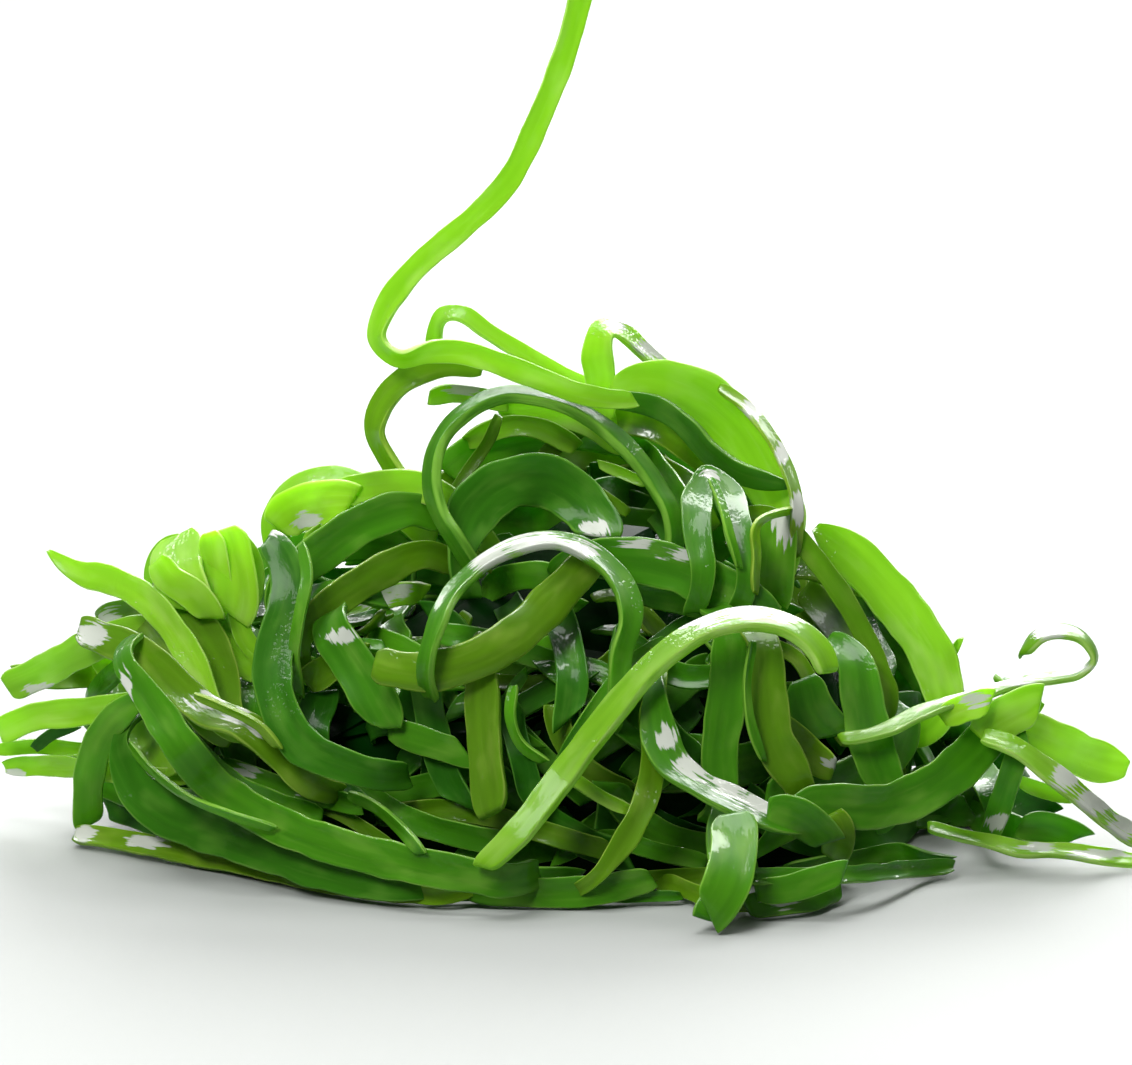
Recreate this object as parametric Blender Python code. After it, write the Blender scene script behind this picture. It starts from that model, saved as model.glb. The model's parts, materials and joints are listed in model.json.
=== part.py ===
# A heap of wet kelp strips. Each long strip is a solid of its own, laid over those before it,
# and the matted strips inside the heap are one lumpy mound.
# +Z is up, the front is -Y, and the origin is on the table under the middle of the heap.

import math

import bmesh
import bpy
import numpy as np
from mathutils.bvhtree import BVHTree

# Driving sizes, in millimetres
THICK = 1.3
STEM_THICK = 1.8
GAP = 0.3
SEGMENT = 3.8
FEWEST_SEGMENTS = 6
MOST_SEGMENTS = 23

# The matted strips inside, as far as they reach from the origin each way
MAT_LEFT = 73.0
MAT_RIGHT = 63.0
MAT_FRONT = 46.0
MAT_BACK = 38.0
MAT_HEIGHT = 43.0
CROWN_HEIGHT = 20.0
CROWN_AT = 7.0
CROWN_HALF_LENGTH = 24.0
CROWN_HALF_DEPTH = 17.0
CROWN_POWER = 3
DOME_POWER = 0.7
DOME_SUBDIVISIONS = 3
SAME_POINT = 1e-5

# The strips that lie along the mat: how many, how thick, and from which height they rise.
# Each goes round by a swing in radians, from a low direction to a high one, and each of the
# ranges holds the least and the most.
MATTED_STRIPS = 30
MATTED_ROWS = 7
MATTED_SEED = 11
MATTED_TURNS = 3
MATTED_JITTER = 0.6
SUNK_THICK = 8.0
HEART_SHARE = 0.2
SWING_RANGE = (0.7, 1.9)
LOW_RANGE = (0.15, 0.55)
HIGH_RANGE = (0.3, 1.4)
SAG_RANGE = (-0.1, 0.4)
MATTED_WIDTH_RANGE = (6, 8.5)
STANDS_OUT_RANGE = (0.7, 2.4)

# How a strip is laid: it widens from its ends over a share of its length, it is tested at points
# along each step and across its width, and it is lifted together with the rows on either side
END_SHARE = 0.25
LENGTH_SAMPLES = 80
TESTED_ALONG = 5
TESTED_ACROSS = 7
EASED_ROWS = 2
MOST_NUDGES = 40
TEST_WIDER = 1.02
TABLE_REACH = 400.0
EYE_DISTANCE = 500.0

# A strip is drawn as it looks from one side, from this far above the table
DRAWN_FROM_ABOVE = math.radians(12)
FRONT = math.radians(0)
RIGHT = math.radians(90)
BACK = math.radians(180)
LEFT = math.radians(270)

METRE = 1000.0

# A material's name, its colour and its roughness
LIME = ("lime_kelp", (0.27, 0.62, 0.03, 1), 0.25)
OLIVE = ("olive_kelp", (0.17, 0.34, 0.02, 1), 0.25)
GREEN = ("green_kelp", (0.07, 0.29, 0.02, 1), 0.22)
DEEP = ("deep_green_kelp", (0.02, 0.13, 0.015, 1), 0.2)
INNER = ("shaded_kelp", (0.02, 0.08, 0.01, 1), 0.4)

# Strips that lie behind or at the sides, in the order in which they are laid.
# A row is a name, a material, a side, a width, the share of that width at either end, and stations.
# A station is how far right and how far up it looks, how far back it lies, and how far the face
# turns to the right of its travel, in degrees.
FAR_STRIPS = [
    ("back_low_band", DEEP, BACK, 6.5, (0.8, 0.8), [
        (-72, 6, -4, 0), (-52, 2, -16, 5), (-26, -3, -30, 0), (4, -6, -36, 0), (34, -2, -30, -5),
        (62, 6, -10, 0)]),
    ("back_rising_band", GREEN, BACK, 6.5, (0.8, 0.6), [
        (-60, 4, -20, 0), (-44, 14, -22, 0), (-26, 26, -20, 5), (-8, 36, -14, 0), (8, 46, -6, 0)]),
    ("back_falling_band", OLIVE, BACK, 7, (0.7, 0.8), [
        (-14, 50, -2, 0), (2, 42, -12, 0), (18, 30, -20, 0), (34, 18, -24, 0), (52, 10, -20, 0),
        (68, 8, -10, 0)]),
    ("back_cross_band", DEEP, BACK, 6, (0.8, 0.8), [
        (-38, 34, -6, 0), (-22, 24, -18, 0), (-4, 14, -28, 0), (16, 5, -34, 0), (36, -4, -36, 0)]),
    ("back_hanging_blade", GREEN, BACK, 7, (0.6, 0.9), [
        (20, 44, -8, 0), (14, 32, -20, 0), (10, 18, -30, 0), (12, 4, -36, 0), (18, -8, -42, 0)]),
    ("back_upper_arch", OLIVE, BACK, 5, (0.8, 0.8), [
        (-40, 26, -14, -20), (-34, 38, -10, -35), (-22, 46, -8, -40), (-8, 45, -10, -35),
        (2, 36, -16, -20), (6, 24, -24, 0)]),
    ("back_front_run", GREEN, BACK, 5, (0.7, 0.7), [
        (-46, -4, -32, -20), (-28, -6, -38, -15), (-8, -7.5, -42, -10), (10, -7, -44, -20)]),
    ("left_end_drape", GREEN, LEFT, 6, (0.7, 0.8), [
        (20, 34, -34, 0), (12, 24, -52, 0), (2, 12, -62, 0), (-6, 2, -70, 0)]),
    ("right_end_drape", OLIVE, RIGHT, 6.5, (0.7, 0.8), [
        (-4, 34, -30, 0), (6, 24, -46, 0), (16, 12, -58, 0), (26, 3, -64, 0)]),
]

# Strips seen from the front, the furthest first
NEAR_STRIPS = [
    ("hairpin_strand", LIME, FRONT, 2.8, (0.9, 0.9), [
        (-20.6, 66, 6, 0), (-20.8, 75, 6, -10), (-20.4, 80.2, 5, -25), (-18.3, 82, 4, -35),
        (-14.5, 79.8, 3, -35), (-9, 76.4, 2, -25), (-3.5, 73.2, 2, -10), (4, 69.5, 2, 0)]),
    ("hooked_strand", LIME, FRONT, 5, (0.9, 0.9), [
        (5.5, 64, 5, 0), (5.4, 71, 5, 0), (5.1, 76.4, 4, -12), (6.6, 79.4, 5, -48), (10, 77.4, 6, -62),
        (14, 73.8, 7, -62), (18, 70.4, 8, -58), (23, 66, 9, -50)]),
    ("round_blade", LIME, FRONT, 9, (0.35, 0.7), [
        (7, 70.2, 3, 0), (13, 70.6, 3, 0), (20, 68.6, 2, 5), (26.3, 63.8, 0, 8), (30.5, 57.5, -4, 18),
        (33.8, 51, -9, 40), (33.2, 44.5, -15, 15), (31.6, 37, -21, 0)]),
    ("sparkling_strand", DEEP, FRONT, 3.6, (0.8, 0.5), [
        (7, 67.6, -1, 0), (13.5, 66.8, -2, 10), (18.5, 63.8, -4, 20), (23, 59, -7, 25),
        (28, 55.8, -9, 20), (35, 54, -10, 0)]),
    ("left_arch", OLIVE, FRONT, 4.2, (0.8, 0.6), [
        (-13, 72.6, 0, 0), (-19.5, 73.2, -1, 0), (-25.5, 70.8, -2, 15), (-29.3, 66.5, -3, 30),
        (-30, 62, -4, 55), (-27.8, 57.8, -5, 60), (-22.5, 52, -9, 50), (-17, 46.5, -14, 40)]),
    ("curled_blade_high", LIME, FRONT, 6, (0.9, 0.8), [
        (-45.8, 44.5, 1, -35), (-45.9, 49.6, 1, -42), (-42.2, 53.4, 1, -45), (-37, 54.8, 0, -38),
        (-32, 52.8, -2, -15), (-26.5, 50, -4, 0)]),
    ("pale_leaf", LIME, FRONT, 5, (0.6, 0.8), [
        (-36.5, 53, -4, 0), (-31, 53.8, -5, 0), (-26, 54.2, -6, 5), (-21, 53.2, -7, 10),
        (-16, 49.5, -10, 10)]),
    ("curled_blade_left", LIME, FRONT, 5, (0.8, 0.9), [
        (-64.3, 36, 0, -20), (-65, 40.5, 0, -32), (-62.5, 44.2, 0, -42), (-58.8, 43.6, -1, -36),
        (-56.6, 39.2, -3, -15), (-55, 34, -6, 0), (-53, 28.5, -10, 0)]),
    ("curled_blade_mid", LIME, FRONT, 5.5, (0.8, 0.7), [
        (-57.6, 37, -3, -20), (-56.6, 41.8, -3, -32), (-54, 45.2, -3, -42), (-51.2, 43.8, -4, -30),
        (-50.2, 39, -6, -5), (-51.4, 33, -10, 0)]),
    ("green_slant", GREEN, FRONT, 6.5, (0.8, 0.9), [
        (-44.5, 39, -13, 10), (-38, 44, -10, 10), (-32.5, 47.8, -8, 5), (-26, 50.3, -7, 0)]),
    ("shoulder_band", OLIVE, FRONT, 6, (0.9, 0.8), [
        (-63, 37.2, -7, 0), (-58.5, 33, -11, 0), (-55, 27, -16, 0), (-53, 18.5, -22, 0)]),
    ("olive_band", OLIVE, FRONT, 5.2, (0.8, 0.8), [
        (-73, 33, -6, 0), (-68, 33.8, -9, 0), (-63.5, 29.8, -13, 0), (-60, 24.5, -18, 0),
        (-58, 18.5, -22, 0)]),
    ("pointed_blade", LIME, FRONT, 4.6, (0.12, 0.9), [
        (-82.3, 43.8, -4, -20), (-78, 40.6, -6, -10), (-72, 39.2, -9, 0), (-66.5, 36.6, -13, 5),
        (-61.5, 31.2, -17, 5), (-58, 25.5, -22, 5), (-55.5, 19, -26, 5)]),
    ("left_wide_blade", LIME, FRONT, 5.4, (0.9, 0.9), [
        (-89.3, 21.8, 0, 0), (-83, 24.6, -2, 0), (-76, 28.3, -5, 0), (-69, 31, -8, 0)]),
    ("left_low_strip", LIME, FRONT, 3.4, (0.7, 0.9), [
        (-90, 9, 4, 0), (-83, 9.4, 1, 0), (-75, 9, -2, 0), (-67, 8, -6, 0)]),
    ("left_level_band", LIME, FRONT, 4.6, (0.9, 0.9), [
        (-90.6, 14.6, -1, 0), (-85, 17.2, -4, 0), (-78, 18, -7, 0), (-70, 19.2, -11, 0)]),
    ("glaring_band", OLIVE, FRONT, 5.5, (0.9, 0.8), [
        (-77, 31.5, -8, -25), (-72.5, 29.8, -11, -10), (-67, 28, -15, 0), (-61.5, 23.4, -20, 0),
        (-56, 18.8, -25, -25), (-50, 16.4, -29, -35), (-45.5, 13, -33, -15), (-41.5, 8.5, -36, 0)]),
    ("left_upright_blade", GREEN, FRONT, 5, (0.7, 0.95), [
        (-68, 20, -17, 0), (-72.8, 15.6, -15, 0), (-75.4, 8.5, -13, 5), (-75.8, 0, -10, 5)]),
    ("left_foot_run", OLIVE, FRONT, 3.6, (0.9, 0.8), [
        (-78, -1.2, -8, -30), (-70, -2, -12, -25), (-61, -3.6, -18, -20), (-50, -5.3, -26, -10),
        (-40, -7.2, -35, 0), (-30, -8.6, -42, 0), (-20, -9.6, -47, 0)]),
    ("dark_crescent", DEEP, FRONT, 7.5, (0.4, 0.8), [
        (-70.5, 13, -17, 10), (-68.3, 7, -20, 5), (-62.5, 2.4, -25, 0), (-54, -0.4, -31, 0),
        (-45, -3, -37, 0), (-36, -5.6, -43, 0), (-26, -7.6, -48, 0)]),
    ("foot_band", GREEN, FRONT, 4.8, (0.9, 0.8), [
        (-15, -8.4, -49, 0), (-4, -9, -51, 0), (5, -8.6, -51, 0), (13.5, -6.8, -50, 5)]),
    ("sweeping_band", GREEN, FRONT, 6, (0.6, 0.9), [
        (-69, 26, -15, 0), (-64.5, 20, -19, 0), (-60, 13.5, -24, 0), (-54, 6.5, -30, 0),
        (-46, 1.8, -36, 0), (-36, -1.8, -42, 0), (-26, -4.2, -47, 0), (-17, -5.8, -51, 0),
        (-10, -7, -53, 5)]),
    ("broad_dark_blade", DEEP, FRONT, 8.5, (0.55, 0.75), [
        (-16.5, 43.5, -17, 20), (-15, 49.5, -12, 10), (-9.5, 54.2, -9, 0), (-2.5, 54.6, -9, 0),
        (2.5, 51, -12, -5), (6, 45.8, -18, -20)]),
    ("dark_arch", DEEP, FRONT, 3.2, (0.9, 0.9), [
        (-17.5, 46, -16, -50), (-20.4, 51, -13, -55), (-21, 56.5, -11, -60), (-19.5, 61.5, -10, -60),
        (-15.5, 65.8, -9, -60), (-10, 68.3, -9, -60), (-4, 67.9, -9, -60), (2.5, 65.5, -10, -60),
        (8, 61.5, -11, -55), (12.5, 56.5, -13, -50), (16.5, 50, -17, -40)]),
    ("slant_band", OLIVE, FRONT, 5.5, (0.7, 0.9), [
        (-41, 31, -23, 10), (-35.5, 36.5, -20, 10), (-30, 40, -18, 10), (-24, 43, -16, 10)]),
    ("right_outer_blade", LIME, FRONT, 7.5, (0.3, 0.8), [
        (39.5, 47.5, -2, -10), (45.5, 42.8, -4, -10), (50.5, 37.6, -6, -5), (55, 32, -9, 0),
        (58.2, 26.5, -12, 0), (59.8, 20, -15, 0)]),
    ("right_long_stalk", OLIVE, FRONT, 3.4, (0.9, 0.8), [
        (34, 48.5, -13, 0), (38.5, 43.3, -15, 0), (43.2, 37, -18, 0), (47.2, 29.8, -22, 0),
        (51, 21, -26, 0)]),
    ("right_green_sheet", GREEN, FRONT, 7, (0.8, 0.8), [
        (45.5, 26, -28, 0), (46.6, 19, -32, 0), (48, 12.5, -36, 0), (50.5, 6, -38, 0)]),
    ("hanging_sheet_left", GREEN, FRONT, 6, (0.8, 0.8), [
        (25.5, 31, -35, 0), (25.2, 24, -38, 0), (24.5, 17.5, -41, 0), (23.8, 12, -43, 0),
        (24.3, 6.5, -45, 0)]),
    ("hanging_sheet_right", OLIVE, FRONT, 6.5, (0.8, 0.8), [
        (31, 28.5, -35, 0), (31.2, 21, -38, 0), (32.5, 14, -42, 0), (36, 8, -45, 0)]),
    ("shoulder_wave", GREEN, FRONT, 7.5, (0.7, 0.8), [
        (3, 42.5, -21, 0), (10, 42.4, -22, 0), (17, 41, -24, 0), (23, 38.4, -27, 0), (29, 36, -29, 0)]),
    ("standing_leaf", GREEN, FRONT, 4.8, (0.8, 0.8), [
        (21.5, 41, -21, 0), (20.5, 47.5, -16, 0), (20.9, 52.8, -12, -8), (23, 55.4, -10, -50),
        (25.4, 52.4, -12, -20), (27, 47, -15, 0), (28.5, 41, -19, 0)]),
    ("hanging_stem", OLIVE, FRONT, 5.5, (0.8, 0.97), [
        (-13, 27, -34, 10), (-12.8, 18, -38, 15), (-12.2, 10, -42, 15), (-11.5, 2.8, -46, 15)]),
    ("folded_flap", GREEN, FRONT, 7, (0.9, 0.5), [
        (-36.5, 30.8, -30, 10), (-33.5, 26.5, -32, 5), (-30.5, 21.8, -35, 0), (-27, 16, -38, 0)]),
    ("bright_band", OLIVE, FRONT, 6.5, (0.8, 0.85), [
        (4, 42.5, -25, 0), (-1, 37.2, -29, 0), (-6, 32.2, -33, 0), (-11, 28.5, -36, 0),
        (-17, 26, -38, 0), (-23, 25, -39, 5), (-30, 26.3, -38, 15)]),
    ("dark_wave_strip", DEEP, FRONT, 6.2, (0.8, 0.8), [
        (-47.2, 45.6, -13, -30), (-44.2, 42.3, -16, 0), (-43.3, 36.5, -21, 0), (-45.2, 30, -26, 0),
        (-45.8, 24.5, -30, 0), (-44.3, 18.5, -34, 0), (-41, 13.5, -37, 0), (-35, 10.7, -40, 0),
        (-31, 9.4, -41, 0)]),
    ("white_topped_arch", GREEN, FRONT, 4, (0.8, 0.8), [
        (-21.5, 27, -36, -50), (-19.3, 34, -33, -55), (-15, 40, -30, -60), (-8.5, 44, -28, -60),
        (-1.5, 45.2, -28, -55), (4.5, 43, -29, -45), (8.6, 38.8, -32, -35), (10, 33.5, -36, -30),
        (8.6, 28, -39, -30), (8, 21.5, -42, -20)]),
    ("crescent_leaf", OLIVE, FRONT, 4, (0.6, 0.6), [
        (14.6, 25, -36, 0), (13.3, 18.5, -40, 0), (13.6, 12, -43, 0), (12.4, 5.5, -46, 0),
        (9.4, -0.5, -49, 0), (5, -6.2, -52, 0)]),
    ("front_drop_strip", GREEN, FRONT, 5.5, (0.8, 0.95), [
        (25, 4.5, -48, 0), (24.2, -1.5, -52, 0), (25, -5.6, -55, 0), (23.8, -9, -58, 0),
        (21.3, -12.6, -62, 0)]),
    ("front_wet_strip", GREEN, FRONT, 4.4, (0.8, 0.9), [
        (27.5, -11, -54, -10), (33, -10.2, -53, -10), (38, -9.6, -50, -10), (42.5, -8, -44, 0)]),
    ("right_foot_stick", GREEN, FRONT, 2.8, (0.9, 0.9), [
        (29, -6.4, -44, -20), (40, -6.3, -42, -20), (50, -6, -38, -20), (60.8, -5.7, -34, -20)]),
    ("right_crescent", GREEN, FRONT, 7, (0.3, 0.75), [
        (30, -2.5, -50, 0), (35, 1.8, -50, 0), (39.5, 4.5, -48, 0), (44.5, 4, -46, 0),
        (50, 4.2, -43, 0), (56, 6.4, -39, 0), (61.5, 10, -34, 0), (66, 14.6, -29, 0),
        (70.5, 19.5, -24, 0)]),
    ("folded_wet_strip", GREEN, FRONT, 6, (0.6, 0.8), [
        (13.8, 22, -42, 20), (14.3, 16, -46, 0), (16.5, 10.8, -50, -30), (21, 7.4, -53, -50),
        (27, 4.6, -54, -52), (32.5, 2.2, -54, -40), (35.5, 2, -53, -20)]),
    ("right_curl", LIME, FRONT, 5, (0.8, 0.8), [
        (50, 15.8, -30, -60), (55.5, 18.4, -26, -70), (63, 20.6, -22, -74), (71, 22.8, -19, -76),
        (78, 23.8, -17, -78), (82.2, 24.8, -17, -85), (83.6, 27.4, -17, -95), (81.4, 30.2, -17, -108),
        (77.5, 31.2, -17, -114), (73.8, 30, -17, -112), (71.8, 27.2, -17, -105)]),
    ("right_lime_leaf", LIME, FRONT, 7, (0.6, 0.45), [
        (65, 17.5, -22, 0), (71, 16, -22, 0), (77, 13.4, -21, 0), (83, 10.8, -19, 0),
        (88.8, 9.2, -17, 0)]),
    ("right_wet_scrap", GREEN, FRONT, 3.8, (0.8, 0.8), [
        (71, 13.5, -24, 10), (69.3, 8, -26, 10), (67.5, 2, -28, 10), (66, -2.5, -29, 0)]),
    ("right_foot_run", LIME, FRONT, 3, (0.7, 0.8), [
        (64, -1.5, -24, -40), (71, -3, -24, -45), (78, -3.4, -23, -45), (84, -4.4, -24, -45),
        (90.4, -5, -25, -45)]),
    ("right_white_strip", LIME, FRONT, 4.6, (0.8, 0.85), [
        (72, 12, -24, -45), (77, 8, -24, -50), (82, 4, -24, -50), (87, 0, -24, -50),
        (90.6, -1.8, -24, -45)]),
    ("long_arch", LIME, FRONT, 4.6, (0.8, 0.9), [
        (-13, -5, -54, -20), (-7.5, 0.3, -53, -25), (-2, 7, -51, -30), (3.3, 14, -49, -35),
        (8.8, 20.8, -47, -40), (14.8, 27.2, -45, -48), (21.5, 31.6, -44, -52), (28.5, 33.2, -44, -52),
        (35, 31.8, -45, -50), (39, 28.6, -46, -45), (40.6, 24.8, -47, -40)]),
    ("lifted_strand", LIME, FRONT, 3.8, (0.95, 0.8), [
        (2.9, 134, 2, -10), (0.7, 125, 1, -10), (-4.2, 112, 0, -5), (-9.5, 101.5, -1, 0),
        (-16, 95, -2, 0), (-23, 89, -4, 5), (-27.5, 83.5, -5, 15), (-29.6, 78.6, -6, 40),
        (-28.8, 75, -7, 62), (-25.5, 74.2, -7, 50), (-21.5, 75.2, -6, 20), (-16, 75, -6, 5),
        (-10, 73, -6, 0), (-3, 70.4, -6, 0), (4, 68, -6, 0), (11, 67.6, -5, 0)]),
]

THICK_STRIPS = {"dark_arch", "long_arch", "hanging_stem"}


def clear_scene():
    """Removes the objects that the file opened with."""
    for old in list(bpy.data.objects):
        bpy.data.objects.remove(old)


def material_of(tint):
    """The material of a name, a colour and a roughness, made once."""
    name, colour, roughness = tint
    material = bpy.data.materials.get(name) or bpy.data.materials.new(name)
    material.use_nodes = True
    shader = material.node_tree.nodes["Principled BSDF"]
    shader.inputs["Base Color"].default_value = colour
    shader.inputs["Roughness"].default_value = roughness
    return material


def turned(points, side):
    """Points drawn as seen from the front, turned about Z to the side that they are seen from."""
    across, back, up = points.T
    return np.stack([
        across * math.cos(side) - back * math.sin(side),
        across * math.sin(side) + back * math.cos(side),
        up], axis=1)


def towards_viewer(side):
    """The direction from the heap to an eye on that side."""
    level = math.cos(DRAWN_FROM_ABOVE)
    return turned(np.array([[0, -level, math.sin(DRAWN_FROM_ABOVE)]]), side)[0]


def smooth_through(stations, count):
    """Evenly spaced points of a smooth curve through the stations."""
    stations = np.array(stations, float)
    steps = np.linalg.norm(np.diff(stations[:, :3], axis=0), axis=1)
    along = np.concatenate([[0], np.cumsum(steps)])
    slope = np.gradient(stations, along, axis=0)
    at = np.linspace(0, along[-1], count)
    first = np.clip(np.searchsorted(along, at, side="right") - 1, 0, len(along) - 2)
    span = along[first + 1] - along[first]
    t = ((at - along[first]) / span)[:, None]
    span = span[:, None]
    return ((2 * t**3 - 3 * t**2 + 1) * stations[first] + (t**3 - 2 * t**2 + t) * span * slope[first]
            + (3 * t**2 - 2 * t**3) * stations[first + 1] + (t**3 - t**2) * span * slope[first + 1])


def route_length(stations):
    """The length of the smooth curve through the stations."""
    dense = smooth_through(stations, LENGTH_SAMPLES)
    return float(np.linalg.norm(np.diff(dense[:, :3], axis=0), axis=1).sum())


def unit(vectors):
    """Each row at a length of one."""
    return vectors / np.linalg.norm(vectors, axis=1, keepdims=True)


def centre_line(stations, side, count):
    """The middle of the strip in space, and how far its face is turned at each point."""
    across, up, back, roll = smooth_through(stations, count).T
    height = (up - back * math.sin(DRAWN_FROM_ABOVE)) / math.cos(DRAWN_FROM_ABOVE)
    return turned(np.stack([across, back, height], axis=1), side), np.radians(roll)


def sections(centres, roll, side, width, ends, thick):
    """Half the width and half the thickness of the strip at each point, as vectors."""
    travel = unit(np.gradient(centres, axis=0))
    viewer = towards_viewer(side)
    facing = unit(viewer - (travel @ viewer)[:, None] * travel)
    right_hand = np.cross(travel, facing)
    normal = np.cos(roll)[:, None] * facing + np.sin(roll)[:, None] * right_hand
    t = np.linspace(0, 1, len(centres))
    from_start = np.minimum(t / END_SHARE, 1)
    from_finish = np.minimum((1 - t) / END_SHARE, 1)
    share = np.minimum(ends[0] + (1 - ends[0]) * np.sin(np.pi / 2 * from_start),
                       ends[1] + (1 - ends[1]) * np.sin(np.pi / 2 * from_finish))
    half_width = np.cross(travel, normal) * (width / 2 * share)[:, None]
    return half_width, normal * thick / 2


def corners_of(centres, half_width, half_thick):
    """The four corners of each section, as rows by corner by axis."""
    return np.stack([centres - half_width - half_thick, centres + half_width - half_thick,
                     centres - half_width + half_thick, centres + half_width + half_thick], axis=1)


def strip_mesh(corners):
    """A bmesh of the closed strip: a grid of its back face, extruded to its front face."""
    rows = len(corners) - 1
    bm = bmesh.new()
    row_layer = bm.verts.layers.int.new("row")
    column_layer = bm.verts.layers.int.new("column")
    bmesh.ops.create_grid(bm, x_segments=1, y_segments=rows, size=1)
    for vert in bm.verts:
        vert[row_layer] = round((vert.co.y + 1) / 2 * rows)
        vert[column_layer] = round((vert.co.x + 1) / 2)
    grown = bmesh.ops.extrude_face_region(bm, geom=bm.faces[:])["geom"]
    for vert in grown:
        if isinstance(vert, bmesh.types.BMVert):
            vert[column_layer] += 2
    for vert in bm.verts:
        vert.co = corners[vert[row_layer]][vert[column_layer]]
    bmesh.ops.triangulate(bm, faces=bm.faces[:], quad_method="SHORT_EDGE")
    bmesh.ops.recalc_face_normals(bm, faces=bm.faces[:])
    return bm


class Pile:
    """What has been laid so far, with the table under it."""

    def __init__(self):
        self.points = [(-TABLE_REACH, -TABLE_REACH, 0), (TABLE_REACH, -TABLE_REACH, 0),
                       (TABLE_REACH, TABLE_REACH, 0), (-TABLE_REACH, TABLE_REACH, 0)]
        self.faces = [(0, 1, 2), (0, 2, 3)]
        self.tree = None
        self.renew()

    def renew(self):
        """Brings the tree for ray casts up to date."""
        self.tree = BVHTree.FromPolygons(self.points, self.faces)

    def add(self, bm):
        """Lays a finished piece on the pile."""
        start = len(self.points)
        self.points += [tuple(vert.co) for vert in bm.verts]
        self.faces += [tuple(start + vert.index for vert in face.verts) for face in bm.faces]
        self.renew()

    def lift_needed(self, point, viewer):
        """How far a point has to move towards the viewer to clear the pile."""
        hit = self.tree.ray_cast(point + EYE_DISTANCE * viewer, -viewer)[0]
        return 0.0 if hit is None else float((np.array(hit) - point) @ viewer) + GAP


def spread(values, reach):
    """Each value raised to the highest within reach, then eased, so that a strip lifts gently."""
    padded = np.pad(values, reach, mode="edge")
    highest = np.array([padded[i:i + 2 * reach + 1].max() for i in range(len(values))])
    padded = np.pad(highest, reach, mode="edge")
    weights = np.hanning(2 * reach + 3)[1:-1]
    return np.array([padded[i:i + 2 * reach + 1] @ weights for i in range(len(values))]) / weights.sum()


def lay(centres, half_width, half_thick, viewer, pile):
    """Moves a strip towards its viewer until it lies clear of the pile, and returns its corners."""
    between = np.linspace(0, 1, TESTED_ALONG)
    across = np.linspace(0, 1, TESTED_ACROSS)
    corners = corners_of(centres, half_width, half_thick)
    needed = np.zeros(len(centres))
    for row in range(len(centres) - 1):
        for t in between:
            edge = corners[row] * (1 - t) + corners[row + 1] * t
            for low, high in ((0, 1), (2, 3)):
                for a in across:
                    lift = pile.lift_needed(edge[low] * (1 - a) + edge[high] * a, viewer)
                    needed[row] = max(needed[row], lift)
                    needed[row + 1] = max(needed[row + 1], lift)
    lifts = spread(needed, EASED_ROWS)
    thicker = 1 + 2 * GAP / THICK
    for _ in range(MOST_NUDGES):
        moved = centres + lifts[:, None] * viewer
        bulky = strip_mesh(corners_of(moved, half_width * TEST_WIDER, half_thick * thicker))
        bulky.verts.index_update()
        rows = bulky.verts.layers.int["row"]
        touching = {vert[rows] for face in touching_faces(bulky, pile) for vert in face.verts}
        bulky.free()
        if not touching:
            break
        raised = np.zeros(len(lifts))
        raised[list(touching)] = GAP
        lifts += spread(raised, EASED_ROWS)
    return corners_of(centres + lifts[:, None] * viewer, half_width, half_thick)


def touching_faces(bm, pile):
    """The faces of a piece that cross a face of the pile."""
    bm.faces.ensure_lookup_table()
    return [bm.faces[index] for index, _ in BVHTree.FromBMesh(bm).overlap(pile.tree)]


def finish_object(name, bm, tint, collection):
    """An object of the heap, brought from millimetres to metres."""
    bmesh.ops.scale(bm, vec=(1 / METRE,) * 3, verts=bm.verts[:])
    mesh = bpy.data.meshes.new(name)
    bm.to_mesh(mesh)
    bm.free()
    mesh.materials.append(material_of(tint))
    collection.objects.link(bpy.data.objects.new(name, mesh))


def mat_point(direction):
    """Where the matted strips' dome lies in a direction given as a unit vector, with its crown."""
    x, y, z = direction
    across = x * (MAT_RIGHT if x > 0 else MAT_LEFT)
    back = y * (MAT_BACK if y > 0 else MAT_FRONT)
    from_crown = abs((across - CROWN_AT) / CROWN_HALF_LENGTH)
    crown = CROWN_HEIGHT * math.exp(-from_crown**CROWN_POWER - abs(back / CROWN_HALF_DEPTH)**CROWN_POWER)
    return np.array([across, back, max(z, 0)**DOME_POWER * (MAT_HEIGHT + crown)])


def dome_mesh():
    """A plain dome under the matted strips, flat where it lies on the table."""
    bm = bmesh.new()
    bmesh.ops.create_icosphere(bm, subdivisions=DOME_SUBDIVISIONS, radius=1)
    bmesh.ops.bisect_plane(bm, geom=bm.verts[:] + bm.edges[:] + bm.faces[:], dist=SAME_POINT,
                           plane_co=(0, 0, 0), plane_no=(0, 0, 1), clear_inner=True)
    bmesh.ops.holes_fill(bm, edges=[edge for edge in bm.edges if edge.is_boundary])
    for vert in bm.verts:
        vert.co = mat_point(vert.co)
    bmesh.ops.triangulate(bm, faces=bm.faces[:])
    bmesh.ops.recalc_face_normals(bm, faces=bm.faces[:])
    return bm


def matted_strip(start, finish, sag, width, stands_out):
    """A strip that lies along the dome between two directions, sunk into it by its lower face."""
    heart = np.array([0, 0, MAT_HEIGHT * HEART_SHARE])
    t = np.linspace(0, 1, MATTED_ROWS)[:, None]
    along = unit(start * (1 - t) + finish * t + sag * np.sin(np.pi * t) * np.array([0, 0, 1]))
    centres = np.array([mat_point(direction) for direction in along])
    out = unit(centres - heart)
    sideways = unit(np.cross(np.gradient(centres, axis=0), out)) * width / 2
    middle = centres + out * (stands_out - SUNK_THICK / 2)
    return strip_mesh(corners_of(middle, sideways, out * SUNK_THICK / 2))


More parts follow.
